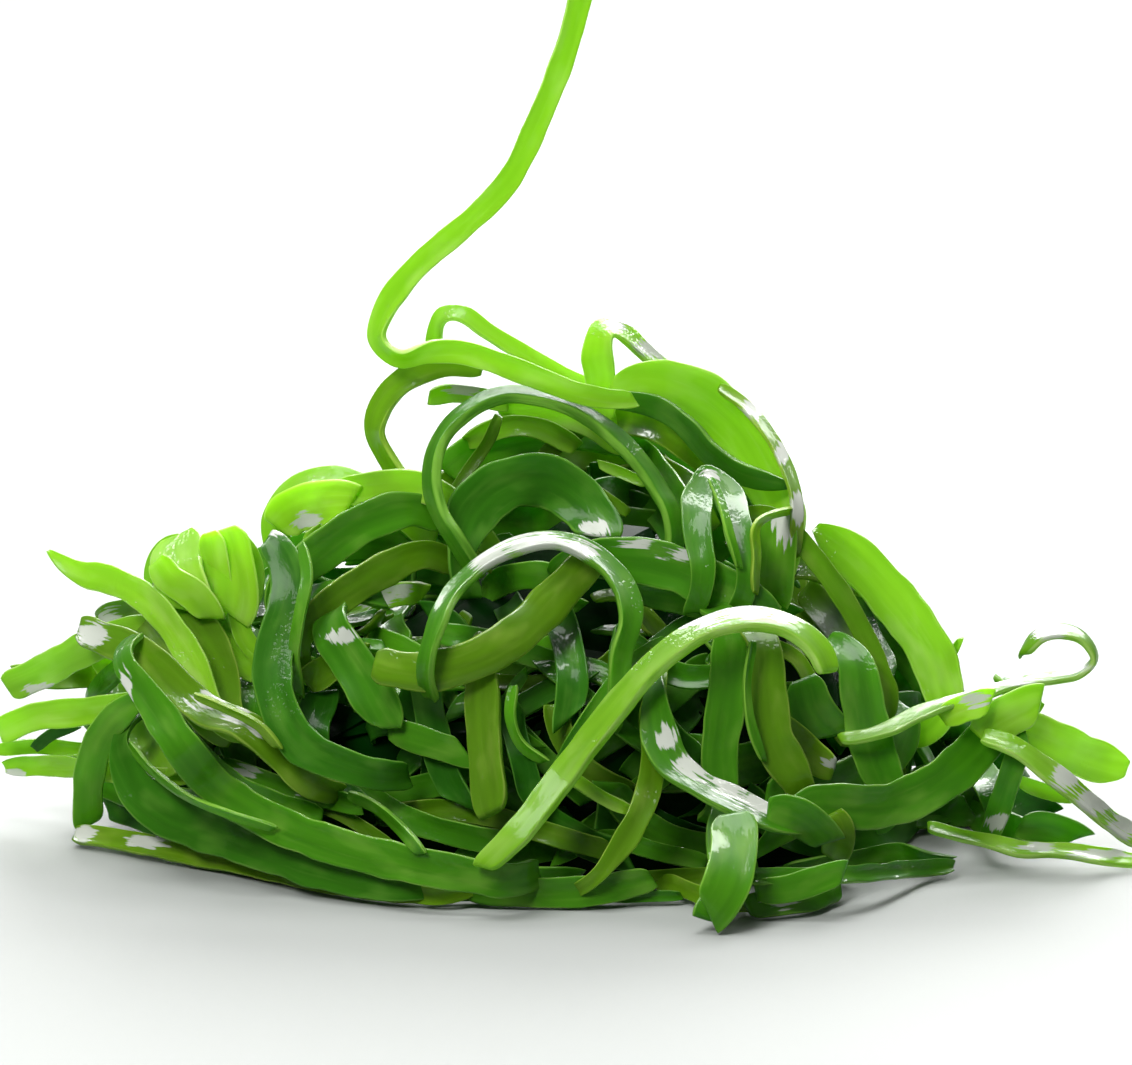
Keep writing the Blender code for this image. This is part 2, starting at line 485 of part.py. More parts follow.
def mat_mesh():
    """The matted strips inside the heap, grown together with the dome that they lie on."""
    shapes = bpy.data.collections.new("matted_shapes")
    bpy.context.scene.collection.children.link(shapes)
    chance = np.random.default_rng(MATTED_SEED)
    for number in range(MATTED_STRIPS):
        place = (number + MATTED_JITTER * chance.random()) / MATTED_STRIPS
        heading = 2 * math.pi * place * MATTED_TURNS
        turn = heading + chance.uniform(*SWING_RANGE)
        low = chance.uniform(*LOW_RANGE)
        high = chance.uniform(*HIGH_RANGE)
        start = unit(np.array([[math.cos(heading), math.sin(heading), low]]))[0]
        finish = unit(np.array([[math.cos(turn), math.sin(turn), high]]))[0]
        sag = chance.uniform(*SAG_RANGE)
        width = chance.uniform(*MATTED_WIDTH_RANGE)
        stands_out = chance.uniform(*STANDS_OUT_RANGE)
        bm = matted_strip(start, finish, sag, width, stands_out)
        add_guide(f"matted_strip_{number + 1}", bm, shapes)
    dome = add_guide("dome", dome_mesh(), None)
    joined = dome.modifiers.new("join", "BOOLEAN")
    joined.operation = "UNION"
    joined.operand_type = "COLLECTION"
    joined.collection = shapes
    joined.solver = "EXACT"
    whole = bpy.data.meshes.new_from_object(dome.evaluated_get(bpy.context.evaluated_depsgraph_get()))
    for guide in list(shapes.objects) + [dome]:
        bpy.data.objects.remove(guide)
    bpy.data.collections.remove(shapes)
    bm = bmesh.new()
    bm.from_mesh(whole)
    bmesh.ops.triangulate(bm, faces=bm.faces[:])
    return bm


def add_guide(name, bm, collection):
    """An object for a Boolean alone, in millimetres."""
    mesh = bpy.data.meshes.new(name)
    bm.to_mesh(mesh)
    bm.free()
    guide = bpy.data.objects.new(name, mesh)
    guide.hide_render = True
    guide.display_type = "WIRE"
    (collection or bpy.context.scene.collection).objects.link(guide)
    return guide


def build():
    """The mat first, then each strip on what lies there already."""
    clear_scene()
    collection = bpy.data.collections.new("kelp_heap")
    bpy.context.scene.collection.children.link(collection)
    pile = Pile()
    mat = mat_mesh()
    mat.verts.index_update()
    pile.add(mat)
    finish_object("matted_inner_strips", mat, INNER, collection)
    for name, tint, side, width, ends, stations in FAR_STRIPS + NEAR_STRIPS:
        thick = STEM_THICK if name in THICK_STRIPS else THICK
        count = int(np.clip(round(route_length(stations) / SEGMENT), FEWEST_SEGMENTS, MOST_SEGMENTS)) + 1
        centres, roll = centre_line(stations, side, count)
        half_width, half_thick = sections(centres, roll, side, width, ends, thick)
        bm = strip_mesh(lay(centres, half_width, half_thick, towards_viewer(side), pile))
        bm.verts.index_update()
        pile.add(bm)
        finish_object(name, bm, tint, collection)


build()
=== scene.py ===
import itertools
import json
import math

import bmesh
import bpy
import numpy as np
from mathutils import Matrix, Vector
from mathutils.bvhtree import BVHTree


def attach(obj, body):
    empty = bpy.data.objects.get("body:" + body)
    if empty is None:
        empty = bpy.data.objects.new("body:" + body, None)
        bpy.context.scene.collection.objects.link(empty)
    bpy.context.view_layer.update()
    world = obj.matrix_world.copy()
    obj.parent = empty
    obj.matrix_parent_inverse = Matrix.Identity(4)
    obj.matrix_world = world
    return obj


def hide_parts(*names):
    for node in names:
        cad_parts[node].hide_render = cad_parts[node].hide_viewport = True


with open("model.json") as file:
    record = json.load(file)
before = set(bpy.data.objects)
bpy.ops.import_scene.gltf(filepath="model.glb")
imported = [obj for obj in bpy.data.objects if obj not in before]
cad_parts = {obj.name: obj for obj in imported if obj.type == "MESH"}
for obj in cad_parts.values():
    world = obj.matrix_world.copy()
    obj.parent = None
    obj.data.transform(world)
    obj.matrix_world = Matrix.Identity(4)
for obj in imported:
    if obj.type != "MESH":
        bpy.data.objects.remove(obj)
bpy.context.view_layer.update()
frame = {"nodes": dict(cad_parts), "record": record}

# Lengths below are in millimetres, and this makes them metres
MM = 0.001

# The photograph looks down on the heap by this much, through a long lens
LOOKS_DOWN = math.radians(12)
CAMERA_DISTANCE = 1600.0
FRAME_WIDTH = 181.12
SENSOR_WIDTH = 36.0
AIMED_AT = np.array([0.0, 9.7, 45.62])
TO_CAMERA = np.array([0.0, -math.cos(LOOKS_DOWN), math.sin(LOOKS_DOWN)])

# How far apart the rows of a strip are, for the long, the short and the matted strips, and where its
# columns lie, as shares of its half width
ROW_STEP = 1.3
SHORT_ROW_STEP = 1.7
FILL_ROW_STEP = 2.6
ACROSS = np.array([-1, -0.9, -0.55, -0.18, 0.18, 0.55, 0.9, 1])
FILL_ACROSS = np.array([-1, -0.88, -0.4, 0.4, 0.88, 1])

# How thick a plain long strip is, a short or matted one, and one that lies on top
THICK = 1.2
FILL_THICK = 1.0
TOP_THICK = 0.9

# No strip goes lower than this over the surface that the heap rests on
LEAST_HEIGHT = 0.1

# Points of the frame's solids closer than this are one
SAME_PLACE = 0.001

MAT = "matted_inner_strips"
HEART = np.array([0.0, 0.0, 8.0])

chance = np.random.default_rng(5)


# Materials

def linear(hex_colour):
    """A colour given as sRGB hex, as linear red, green and blue with full alpha."""
    parts = [int(hex_colour[i:i + 2], 16) / 255 for i in (1, 3, 5)]
    return [c / 12.92 if c <= 0.04045 else ((c + 0.055) / 1.055) ** 2.4 for c in parts] + [1.0]


def add(tree, kind, inputs=None, **settings):
    """Adds a node, with its settings, its values and its links."""
    made = tree.nodes.new(kind)
    for name, value in settings.items():
        setattr(made, name, value)
    for name, value in (inputs or {}).items():
        if isinstance(value, bpy.types.NodeSocket):
            tree.links.new(value, made.inputs[name])
        else:
            made.inputs[name].default_value = value
    return made


def colour_mix(tree, factor, first, second):
    """Blends two colours, each a socket or a value, by a factor from 0 to 1."""
    mix = add(tree, "ShaderNodeMix", {0: factor}, data_type="RGBA")
    for place, colour in ((6, first), (7, second)):
        if isinstance(colour, bpy.types.NodeSocket):
            tree.links.new(colour, mix.inputs[place])
        else:
            mix.inputs[place].default_value = colour
    return mix.outputs[2]


def toned(tree, tone, colour):
    """The colour, from darker and bluer to brighter and yellower as the strip's tone goes from -1 to 1."""
    hue = add(tree, "ShaderNodeMapRange", {0: tone, 1: -1.0, 2: 1.0, 3: 0.515, 4: 0.48}).outputs[0]
    value = add(tree, "ShaderNodeMapRange", {0: tone, 1: -1.0, 2: 1.0, 3: 0.45, 4: 1.55}).outputs[0]
    return add(tree, "ShaderNodeHueSaturation", {"Hue": hue, "Value": value, "Color": colour}).outputs[0]


# The pale colour of the painted highlight: glare of the light on the film of water, painted into the
# colour
PAINTED_GLARE_COLOUR = "#B2B6AC"

# A strip's patterns: the length and width of what they show, in millimetres, and their detail. There
# are soft bands with fine grain, blotches, wrinkles in the film of water, and patches.
PATTERNS = {
    "bands": (25, 2, 1),
    "grain": (10, 0.5, 2),
    "blotches": (9, 4, 2),
    "wrinkles": (3, 1, 3),
    "patches": (8, 8, 1),
}
# What is made of a pattern: the range that counts, and the values at its ends
TAKEN = {
    "banded": ("bands", 0.25, 0.75, 0.35, 1.0),
    "grained": ("grain", 0.55, 0.8, 0.0, 0.15),
    "blotchy": ("blotches", 0.5, 0.8, 0.0, 0.4),
    "roughness": ("blotches", 0.3, 0.7, 0.3, 0.5),
    # rim: how strongly the painted rim light shows at the edges, broken in patches
    "rim": ("patches", 0.4, 0.6, 0.2, 0.9),
    "beaded": ("patches", 0.54, 0.62, 0.0, 1.0),
}


def wet_kelp(name, deep, base, pale, glow, clear, film_of_water):
    """Wet kelp blade: smooth and translucent, with thin pale edges of painted rim light, pale patches of
    painted glare, and a film of water.

    clear is the share of the light that comes through, and film_of_water is how strongly the film
    shines."""
    material = bpy.data.materials.new(name)
    material.use_nodes = True
    tree = material.node_tree
    tree.nodes.clear()
    along = add(tree, "ShaderNodeUVMap", uv_map="strip_mm").outputs[0]
    in_shares = add(tree, "ShaderNodeUVMap", uv_map="strip_share").outputs[0]
    tone = add(tree, "ShaderNodeAttribute", attribute_name="tone").outputs["Fac"]
    glare = add(tree, "ShaderNodeAttribute", attribute_name="glare").outputs["Fac"]

    look = {}
    for kind, (length, width, detail) in PATTERNS.items():
        at = add(tree, "ShaderNodeMapping", {
            "Vector": along, "Scale": (1 / length, 1 / width, 1)}).outputs[0]
        look[kind] = add(tree, "ShaderNodeTexNoise", {
            "Vector": at, "Scale": 1, "Detail": detail}).outputs[0]
    for kind, (pattern, *ranges) in TAKEN.items():
        look[kind] = add(tree, "ShaderNodeMapRange", {
            0: look[pattern], **dict(enumerate(ranges, 1))}).outputs[0]
    # beads of water, 0.6 mm apart
    beads = add(tree, "ShaderNodeTexVoronoi", {
        "Vector": along, "Scale": 1 / 0.6}, feature="SMOOTH_F1").outputs[0]
    side = add(tree, "ShaderNodeSeparateXYZ", {0: in_shares}).outputs[1]
    off_middle = add(tree, "ShaderNodeMath", {0: side}, operation="ABSOLUTE").outputs[0]
    # painted rim light: the edges are painted paler, in the surface colour and in the colour of the light
    # that comes through, as if lit from behind
    edge = add(tree, "ShaderNodeMapRange", {0: off_middle, 1: 0.88, 2: 0.99, 4: look["rim"]}).outputs[0]

    skin = colour_mix(tree, look["banded"], linear(deep), linear(base))
    for share in (look["blotchy"], look["grained"], edge):
        skin = colour_mix(tree, share, skin, linear(pale))
    skin = toned(tree, tone, skin)
    # painted highlight: pale glare painted into the colour where the glare attribute says, in patches with
    # ragged edges, and letting less light through there
    for pattern, share in (("wrinkles", 0.8), ("grain", 0.9)):
        glare = add(tree, "ShaderNodeMath", {
            0: look[pattern], 1: share, 2: glare}, operation="MULTIPLY_ADD").outputs[0]
    painted_glare = add(tree, "ShaderNodeMapRange", {0: glare, 1: 1.3, 2: 1.42}).outputs[0]
    skin = colour_mix(tree, painted_glare, skin, linear(PAINTED_GLARE_COLOUR))
    clearness = add(tree, "ShaderNodeMapRange", {0: painted_glare, 3: clear, 4: 0.12}).outputs[0]
    lit = colour_mix(tree, look["banded"], linear(base), linear(glow))
    lit = toned(tree, tone, colour_mix(tree, edge, lit, linear(glow)))

    ridges = add(tree, "ShaderNodeBump", {
        "Height": look["bands"], "Strength": 0.3, "Distance": 0.2 * MM}).outputs[0]
    film = add(tree, "ShaderNodeBump", {
        "Height": look["wrinkles"], "Strength": 0.5, "Distance": 0.22 * MM,
        "Normal": ridges}).outputs[0]
    droplets = add(tree, "ShaderNodeBump", {
        "Height": beads, "Strength": look["beaded"], "Distance": 0.3 * MM,
        "Normal": film}, invert=True).outputs[0]

    blade = add(tree, "ShaderNodeBsdfPrincipled", {
        "Base Color": skin, "Roughness": look["roughness"], "Specular IOR Level": 0.2 * film_of_water,
        "Coat Weight": film_of_water, "Coat Roughness": 0.05, "Coat IOR": 1.36, "Normal": ridges,
        "Coat Normal": droplets}).outputs[0]
    through = add(tree, "ShaderNodeBsdfTranslucent", {"Color": lit, "Normal": ridges}).outputs[0]
    shader = add(tree, "ShaderNodeMixShader", {0: clearness, 1: blade, 2: through}).outputs[0]
    add(tree, "ShaderNodeOutputMaterial", {0: shader})
    return material


KELP = {
    "kelp_lime": wet_kelp("wet_kelp_lime", "#66A216", "#8EC42C", "#CCE684", "#ACE240", 0.5, 0.75),
    "kelp_olive": wet_kelp("wet_kelp_olive", "#446A0C", "#5E8E14", "#A4C250", "#8CC422", 0.45, 0.75),
    "kelp_green": wet_kelp("wet_kelp_green", "#2A640A", "#458814", "#8ABC48", "#6CC01E", 0.42, 0.75),
    "kelp_deep": wet_kelp("wet_kelp_deep", "#1A4C08", "#2C6A12", "#68A03A", "#50AA1C", 0.37, 0.4),
    # kelp_inner is a darker, shaded copy of the kelp: painted shade for the strips deep in the heap
    "kelp_inner": wet_kelp("wet_kelp_shaded", "#0A2404", "#143E08", "#265A12", "#2E6C10", 0.2, 0.12),
}


def matte(name, hex_colour, roughness):
    """A plain surface of the studio, with no gloss."""
    material = bpy.data.materials.new(name)
    material.use_nodes = True
    shader = material.node_tree.nodes["Principled BSDF"]
    shader.inputs["Base Color"].default_value = linear(hex_colour)
    shader.inputs["Roughness"].default_value = roughness
    return material


def made(bm, name, material):
    """The modelled mesh as an object of the scene."""
    mesh = bpy.data.meshes.new(name)
    bm.to_mesh(mesh)
    bm.free()
    mesh.materials.append(material)
    piece = bpy.data.objects.new(name, mesh)
    bpy.context.scene.collection.objects.link(piece)
    return piece


# Curves and strips

def unit(vectors):
    """The vectors, each made one long."""
    return vectors / np.linalg.norm(vectors, axis=-1, keepdims=True)


def resample(values, step):
    """Rows of values whose first three columns are a place, made evenly spaced on a smooth curve."""
    values = np.asarray(values, float)
    along = np.concatenate([[0], np.cumsum(np.linalg.norm(np.diff(values[:, :3], axis=0), axis=1))])
    slope = np.gradient(values, along, axis=0)
    at = np.linspace(0, along[-1], max(4, round(along[-1] / step)) + 1)
    first = np.clip(np.searchsorted(along, at, side="right") - 1, 0, len(along) - 2)
    span = (along[first + 1] - along[first])[:, None]
    t = (at - along[first])[:, None] / span
    return ((2 * t**3 - 3 * t**2 + 1) * values[first] + (t**3 - 2 * t**2 + t) * span * slope[first]
            + (3 * t**2 - 2 * t**3) * values[first + 1] + (t**3 - t**2) * span * slope[first + 1])


# A random wave is a sum of waves this long and high beside the longest, divided by the last number
WAVE_SHARES = (1.0, 0.6, 0.37)
WAVE_SUM = 1.6


def either_way(most):
    """A chance number up to this far below or above nought."""
    return chance.uniform(-most, most)


def both_ends(most):
    """A chance slant for each end of a strip, up to this share of its width."""
    return either_way(most), either_way(most)


def wavy(count, step, length, amount):
    """A smooth random wave along a strip, about this long from crest to crest."""
    t = np.arange(count) * step / length * 2 * math.pi
    wave = np.zeros(count)
    for share in WAVE_SHARES:
        wave += share * np.sin(t / share * chance.uniform(0.8, 1.2) + chance.uniform(0, 6.28))
    return wave * amount / WAVE_SUM


# Where the photograph shows pale glare on a strip: across and up, and how far it reaches each way
GLARES = {
    "white_topped_arch": [(-12, 42.6, 4.5, 2.2), (-5, 45, 6, 2.0), (2, 44, 3.5, 1.8)],
    "long_arch": [(20, 33.4, 6, 1.7), (28, 34.6, 6, 1.5), (34.5, 33.6, 3, 1.2)],
    "folded_wet_strip": [(20, 10.6, 4, 2.4), (25.5, 7.6, 4, 2.2), (31, 5, 4.5, 2), (15.5, 15, 2, 2.4)],
    "olive_band": [(-73, 32, 3.2, 3.2)],
    "glaring_band": [(-74.5, 30.6, 3, 2.4), (-56, 20.4, 3.4, 1.6), (-51, 18.2, 3.2, 1.5),
        (-47, 16, 2.4, 1.6)],
    "dark_wave_strip": [(-45.4, 47, 2.8, 1.1)],
    "broad_dark_blade": [(4.6, 47.2, 2.8, 1.8)],
    "shoulder_wave": [(11, 44.8, 3.6, 1.1), (18, 43.2, 3.6, 1.1)],
    "folded_flap": [(-35.2, 30.4, 3, 1.4)],
    "glossy_stub": [(-30, 36.2, 3.6, 1.8), (-26, 37.5, 2.4, 1.2)],
    "left_wide_blade": [(-84, 21.6, 3.6, 1.2)],
    "left_level_band": [(-84.5, 13.6, 3, 0.9)],
    "left_low_strip": [(-88, 8, 2, 1.2)],
    "left_foot_run": [(-76.4, -1, 2.2, 1.5), (-66, -2, 4, 1.2)],
    "left_sweep_green": [(-69.2, 23.5, 1.6, 3.4), (-66.8, 19.4, 1.4, 3.4)],
    "sweeping_band": [(-68.6, 22, 1.2, 4)],
    "left_gloss_sweep": [(-51, 9.2, 3.6, 1.2), (-40, 6.2, 2.4, 0.9)],
    "right_white_strip": [(78, 8.4, 3, 2.2), (83, 4.6, 4, 2.4), (88, 0.4, 4, 2.2)],
    "right_curl": [(62, 21.2, 4.5, 1.2), (70, 23.4, 4, 1), (80, 25.6, 3, 1.2), (76, 31, 3.2, 1.6)],
    "right_foot_run": [(74, -2.6, 3.4, 0.9), (84, -3.8, 6, 0.9)],
    "right_wet_scrap": [(68, 1, 2.4, 1.6)],
    "right_fold_over": [(66, 18, 3, 1.4)],
    "under_arch_leaf": [(42, 10.6, 3, 1.1)],
    "hooked_strand": [(8.5, 80, 3, 1.3), (14, 76, 4, 1.8), (19, 72, 3, 1.6)],
    "standing_leaf": [(23.2, 56, 2.4, 1.1)],
    "pale_tab": [(-16, 69.5, 4, 1.2)],
    "front_wet_strip": [(33, -10, 3, 1.2)],
    "blade_rim": [(29.4, 66.4, 2.2, 2.2), (36.6, 50.5, 1.8, 3), (34, 59, 1.2, 2)],
    "right_chip": [(64, 20.6, 3, 1.4)],
    "blade_flap": [(34.2, 47.6, 2.2, 3.4)],
    "curl_petal": [(-41, 48.6, 3.2, 1.5)],
}


# A glare has faded out at this many times its reach
GLARE_FADES = 1.7


def glare_on(name, place):
    """How strongly a place on a strip, in millimetres, shows the photograph's glare, from 0 to 1."""
    across = place[0]
    up = place[2] * math.cos(LOOKS_DOWN) + place[1] * math.sin(LOOKS_DOWN)
    inside = [1 - math.hypot((across - u) / reach_u, (up - v) / reach_v) / GLARE_FADES
              for u, v, reach_u, reach_v in GLARES.get(name, [])]
    return max(inside + [0.0])


# The length of the waves in a strip's edges and in its width, and how much the width varies
LEFT_WAVE = 17
RIGHT_WAVE = 21
WIDTH_WAVE = 11
WIDTH_VARIES = 0.06
# An end narrows by this share within this many half widths, and slants over this length
END_NARROWS = 0.3
END_REACH = 0.35
SLANT_REACH = 6
# A strip is this share thinner at its edges, and curls up where its squared share of the half width
# is over this
EDGE_THINS = 0.15
CURL_STARTS = 0.35
# Where the texture starts is drawn up to here, and the strip's other side has it shifted this far
TEXTURE_STARTS = 500
TEXTURE_SHIFT = 9


def strip(name, slot, centres, half_width, normals, thick, across, cup, ruffle, skew, tone):
    """A strip of kelp as a closed mesh: a grid bent along its route, extruded to its thickness.

    cup curls both edges towards the normal and ruffle waves them, in millimetres. skew moves the ends'
    edges along the strip, as a share of its width, for a cut that isn't square."""
    rows = len(centres)
    columns = len(across) - 1
    step = float(np.linalg.norm(np.diff(centres, axis=0), axis=1).mean())
    width = np.linalg.norm(half_width, axis=1)
    travel = unit(np.gradient(centres, axis=0))
    left = wavy(rows, step, LEFT_WAVE, ruffle)
    right = wavy(rows, step, RIGHT_WAVE, ruffle)
    t = np.linspace(0, 1, rows)
    from_end = np.minimum(t, 1 - t) * (rows - 1) * step
    rounding = np.clip(1 - from_end / (END_REACH * width), 0, 1)
    uneven = (1 + wavy(rows, step, WIDTH_WAVE, WIDTH_VARIES)) * (1 - END_NARROWS * rounding ** 2)
    slant = sum(share * np.clip(1 - from_this_end * rows * step / SLANT_REACH, 0, 1)
                for share, from_this_end in zip(skew, (t, 1 - t)))
    thin = thick / 2 * (1 - EDGE_THINS * np.abs(across) ** 3)
    middle = np.empty((rows, columns + 1, 3))
    for column, s in enumerate(across):
        lift = cup * (s * s - CURL_STARTS) + (left if s < 0 else right) * s * s
        middle[:, column] = (centres + half_width * (s * uneven)[:, None] + normals * lift[:, None]
                             + travel * (slant * s * width)[:, None])
    faces_out = normals[:, None, :] * thin[None, :, None]
    sides = np.stack([middle - faces_out, middle + faces_out])
    sides[..., 2] = np.maximum(sides[..., 2], LEAST_HEIGHT)

    bm = bmesh.new()
    row_of = bm.verts.layers.int.new("row")
    column_of = bm.verts.layers.int.new("column")
    side_of = bm.verts.layers.int.new("side")
    tone_of = bm.verts.layers.float.new("tone")
    glare_of = bm.verts.layers.float.new("glare")
    bmesh.ops.create_grid(bm, x_segments=columns, y_segments=rows - 1, size=1)
    for vert in bm.verts:
        vert[row_of] = round((vert.co.y + 1) / 2 * (rows - 1))
        vert[column_of] = round((vert.co.x + 1) / 2 * columns)
    for grown in bmesh.ops.extrude_face_region(bm, geom=bm.faces[:])["geom"]:
        if isinstance(grown, bmesh.types.BMVert):
            grown[side_of] = 1
    for vert in bm.verts:
        place = sides[vert[side_of], vert[row_of], vert[column_of]]
        vert.co = place * MM
        vert[tone_of] = tone
        vert[glare_of] = glare_on(name, place)
    bmesh.ops.recalc_face_normals(bm, faces=bm.faces[:])
    in_mm = bm.loops.layers.uv.new("strip_mm")
    as_share = bm.loops.layers.uv.new("strip_share")
    begins = chance.uniform(0, TEXTURE_STARTS)
    for face in bm.faces:
        face.smooth = True
        for loop in face.loops:
            vert = loop.vert
            s = across[vert[column_of]]
            loop[in_mm].uv = (begins + vert[row_of] * step,
                              begins + s * width[vert[row_of]] + TEXTURE_SHIFT * vert[side_of])
            loop[as_share].uv = (vert[row_of] / (rows - 1), s)
    piece = made(bm, "kelp_" + name, KELP[slot])
    rounded = piece.modifiers.new("rounded", "SUBSURF")
    rounded.levels = rounded.render_levels = 1
    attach(piece, "root")
    return piece


# The long strips, from the frame's own solids

# A strip starts at whichever end lies further this way in the photograph
TOP_LEFT = np.array([-0.7, 0.0, 1.0])
# Its outer side faces away from the heart of the heap and, by this much, towards the camera
FACES_CAMERA = 40


def levels_from(cap):
    """The vertices in steps away from an end of the strip, each step in the mesh's own order."""
    seen, level, found = set(cap), cap, []
    while level:
        found.append(sorted(level, key=lambda vert: vert.index))
        level = {edge.other_vert(vert) for vert in level for edge in vert.link_edges} - seen
        seen.update(level)
    return found


def in_step(bm, before, level):
    """The next section's vertices in the order of the section before, along the mesh's own edges."""
    shift = mean_place(level) - mean_place(before)

    def stray(order):
        """How badly this order fits: pairs that no edge joins, and how far they stray."""
        unlinked = sum(bm.edges.get(pair) is None for pair in zip(before, order))
        return unlinked + sum((b.co - a.co - shift).length for a, b in zip(before, order))
    return min(itertools.permutations(level), key=stray)


def mean_place(verts):
    """The middle of the vertices."""
    return sum((vert.co for vert in verts), Vector()) / len(verts)


def sections_of(node):
    """The strip's sections in order: centre, half width as a vector, and normal, in millimetres."""
    bm = bmesh.new()
    bm.from_mesh(frame["nodes"][node].data)
    bmesh.ops.remove_doubles(bm, verts=bm.verts[:], dist=SAME_PLACE * MM)
    bm.verts.index_update()
    for edge in bm.edges:
        cap = {vert for face in edge.link_faces for vert in face.verts}
        if len(cap) == 4:
            found = levels_from(cap)
            if all(len(level) == 4 for level in found):
                break
    half = len(found) // 2
    first, *others = sorted(found[half], key=lambda vert: (vert.co - found[half][0].co).length)
    across_thickness, across_width, diagonal = others
    ordered = {half: (first, across_width, across_thickness, diagonal)}
    for here in range(half + 1, len(found)):
        ordered[here] = in_step(bm, ordered[here - 1], found[here])
    for here in range(half - 1, -1, -1):
        ordered[here] = in_step(bm, ordered[here + 1], found[here])
    rails = np.array([[vert.co[:] for vert in ordered[i]] for i in range(len(found))]) / MM
    bm.free()
    centres = rails.mean(axis=1)
    half_width = (rails[:, 1] + rails[:, 3] - rails[:, 0] - rails[:, 2]) / 4
    normals = unit(rails[:, 2] + rails[:, 3] - rails[:, 0] - rails[:, 1])
    if TOP_LEFT @ (centres[0] - centres[-1]) < 0:
        centres, half_width, normals = centres[::-1], half_width[::-1], normals[::-1]
    middle = len(centres) // 2
    if normals[middle] @ (centres[middle] - HEART + FACES_CAMERA * TO_CAMERA) < 0:
        normals, half_width = -normals, -half_width
    return centres, half_width, normals


# How a long strip differs from the plain ones: thickness, curl of its edges, waves in its edges. The
# plain ones' curl is drawn from this range.
PLAIN_CURLS = (0.1, 0.6)
PLAIN_WAVES = 0.3
SHAPES = {
    "lifted_strand": (1.3, 0.5, 0.1),
    "long_arch": (2.0, 0.2, 0.1),
    "dark_arch": (2.1, 0.1, 0.1),
    "hanging_stem": (2.0, 0.5, 0.1),
    "white_topped_arch": (1.5, 0.4, 0.2),
    "round_blade": (1.1, 0.3, 0.3),
    "broad_dark_blade": (1.1, 0.5, 0.4),
    "dark_wave_strip": (1.3, 0.4, 0.3),
    "dark_crescent": (1.3, 0.5, 0.3),
    "right_crescent": (1.2, 0.4, 0.3),
    "bright_band": (1.3, -0.5, 0.2),
    "hairpin_strand": (1.2, 0.2, 0.1),
    "hooked_strand": (1.2, 0.3, 0.1),
    "sparkling_strand": (1.7, 0.2, 0.2),
    "right_long_stalk": (1.6, 0.3, 0.1),
    "left_arch": (1.4, 0.5, 0.2),
    "right_curl": (1.0, 0.3, 0.2),
}


# The most by which a strip's ends slant and its tone differs, by chance
LONG_SKEW = 0.5
LONG_TONE = 0.1

# Strips darker (below 0) or brighter (above 0) than others of their colour
TONES = {
    "lifted_strand": 0.15,
    "hairpin_strand": 0.2,
    "hooked_strand": 0.3,
    "round_blade": 0.1,
    "left_arch": 0.4,
    "left_upright_blade": 0.45,
    "left_level_band": 0.1,
    "right_curl": -0.45,
    "dark_arch": 0.9,
    "broad_dark_blade": 0.4,
    "sparkling_strand": 0.45,
    "white_topped_arch": 0.1,
    "bright_band": 0.15,
    "dark_wave_strip": 0.3,
    "dark_crescent": 0.4,
    "sweeping_band": 0.1,
    "folded_flap": -0.1,
    "right_lime_leaf": 0.45,
    "left_foot_run": 0.3,
    "foot_band": 0.25,
}

# Which ends of the long strips lie free. The others turn in towards the heart of the heap.
FREE_START = {
    "lifted_strand", "pointed_blade", "left_wide_blade", "left_level_band", "left_low_strip",
    "left_foot_run", "glaring_band", "front_wet_strip", "foot_band", "left_arch", "sparkling_strand",
    "hairpin_strand", "hooked_strand", "right_lime_leaf", "right_outer_blade", "dark_wave_strip",
    "round_blade", "long_arch", "bright_band",
}
FREE_END = {
    "lifted_strand", "left_upright_blade", "right_curl", "right_lime_leaf", "right_white_strip",
    "right_foot_run", "front_drop_strip", "front_wet_strip", "right_foot_stick", "folded_flap",
    "hanging_stem", "foot_band", "broad_dark_blade", "right_wet_scrap", "long_arch", "sparkling_strand",
}
# Sections left off a strip's start where the photograph hides it
LEFT_OFF = {"hairpin_strand": 2}
# Where the ends turn in to, in how many more sections, how far apart, and how sharply
CORE = np.array([0.0, 0.0, 18.0])
DIVE_SECTIONS = 3
DIVE_STEP = 2.6
DIVE_TURN = 0.55


def with_dive(centres, half_width, normals):
    """The sections with more past the last one, turning in towards the heart of the heap."""
    heading = unit(centres[-1] - centres[-2])
    for _ in range(DIVE_SECTIONS):
        heading = unit(heading + unit(CORE - centres[-1]) * DIVE_TURN)
        half = half_width[-1] - heading * (half_width[-1] @ heading)
        normal = unit(np.cross(half, heading))
        normal = normal if normal @ normals[-1] > 0 else -normal
        centres = np.vstack([centres, centres[-1] + heading * DIVE_STEP])
        half_width = np.vstack([half_width, half])
        normals = np.vstack([normals, normal])
    return centres, half_width, normals


def dress_long_strips(slots):
    """Lays a modelled strip over each of the frame's long strips, which it replaces."""
    for node in frame["nodes"]:
        if node == MAT:
            continue
        sections = [part[LEFT_OFF.get(node, 0):] for part in sections_of(node)]
        if node not in FREE_END:
            sections = with_dive(*sections)
        if node not in FREE_START:
            sections = [part[::-1] for part in with_dive(*[part[::-1] for part in sections])]
        rows = resample(np.hstack(sections), ROW_STEP)
        thick, cup, ruffle = SHAPES.get(node, (THICK, chance.uniform(*PLAIN_CURLS), PLAIN_WAVES))
        skew = both_ends(LONG_SKEW)
        tone = TONES.get(node, 0.0) + either_way(LONG_TONE)
        piece = strip(node, slots[node], rows[:, :3], rows[:, 3:6], unit(rows[:, 6:]), thick, ACROSS,
                      cup, ruffle, skew, tone)
        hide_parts(node)


# The short strips between and the matted strips inside

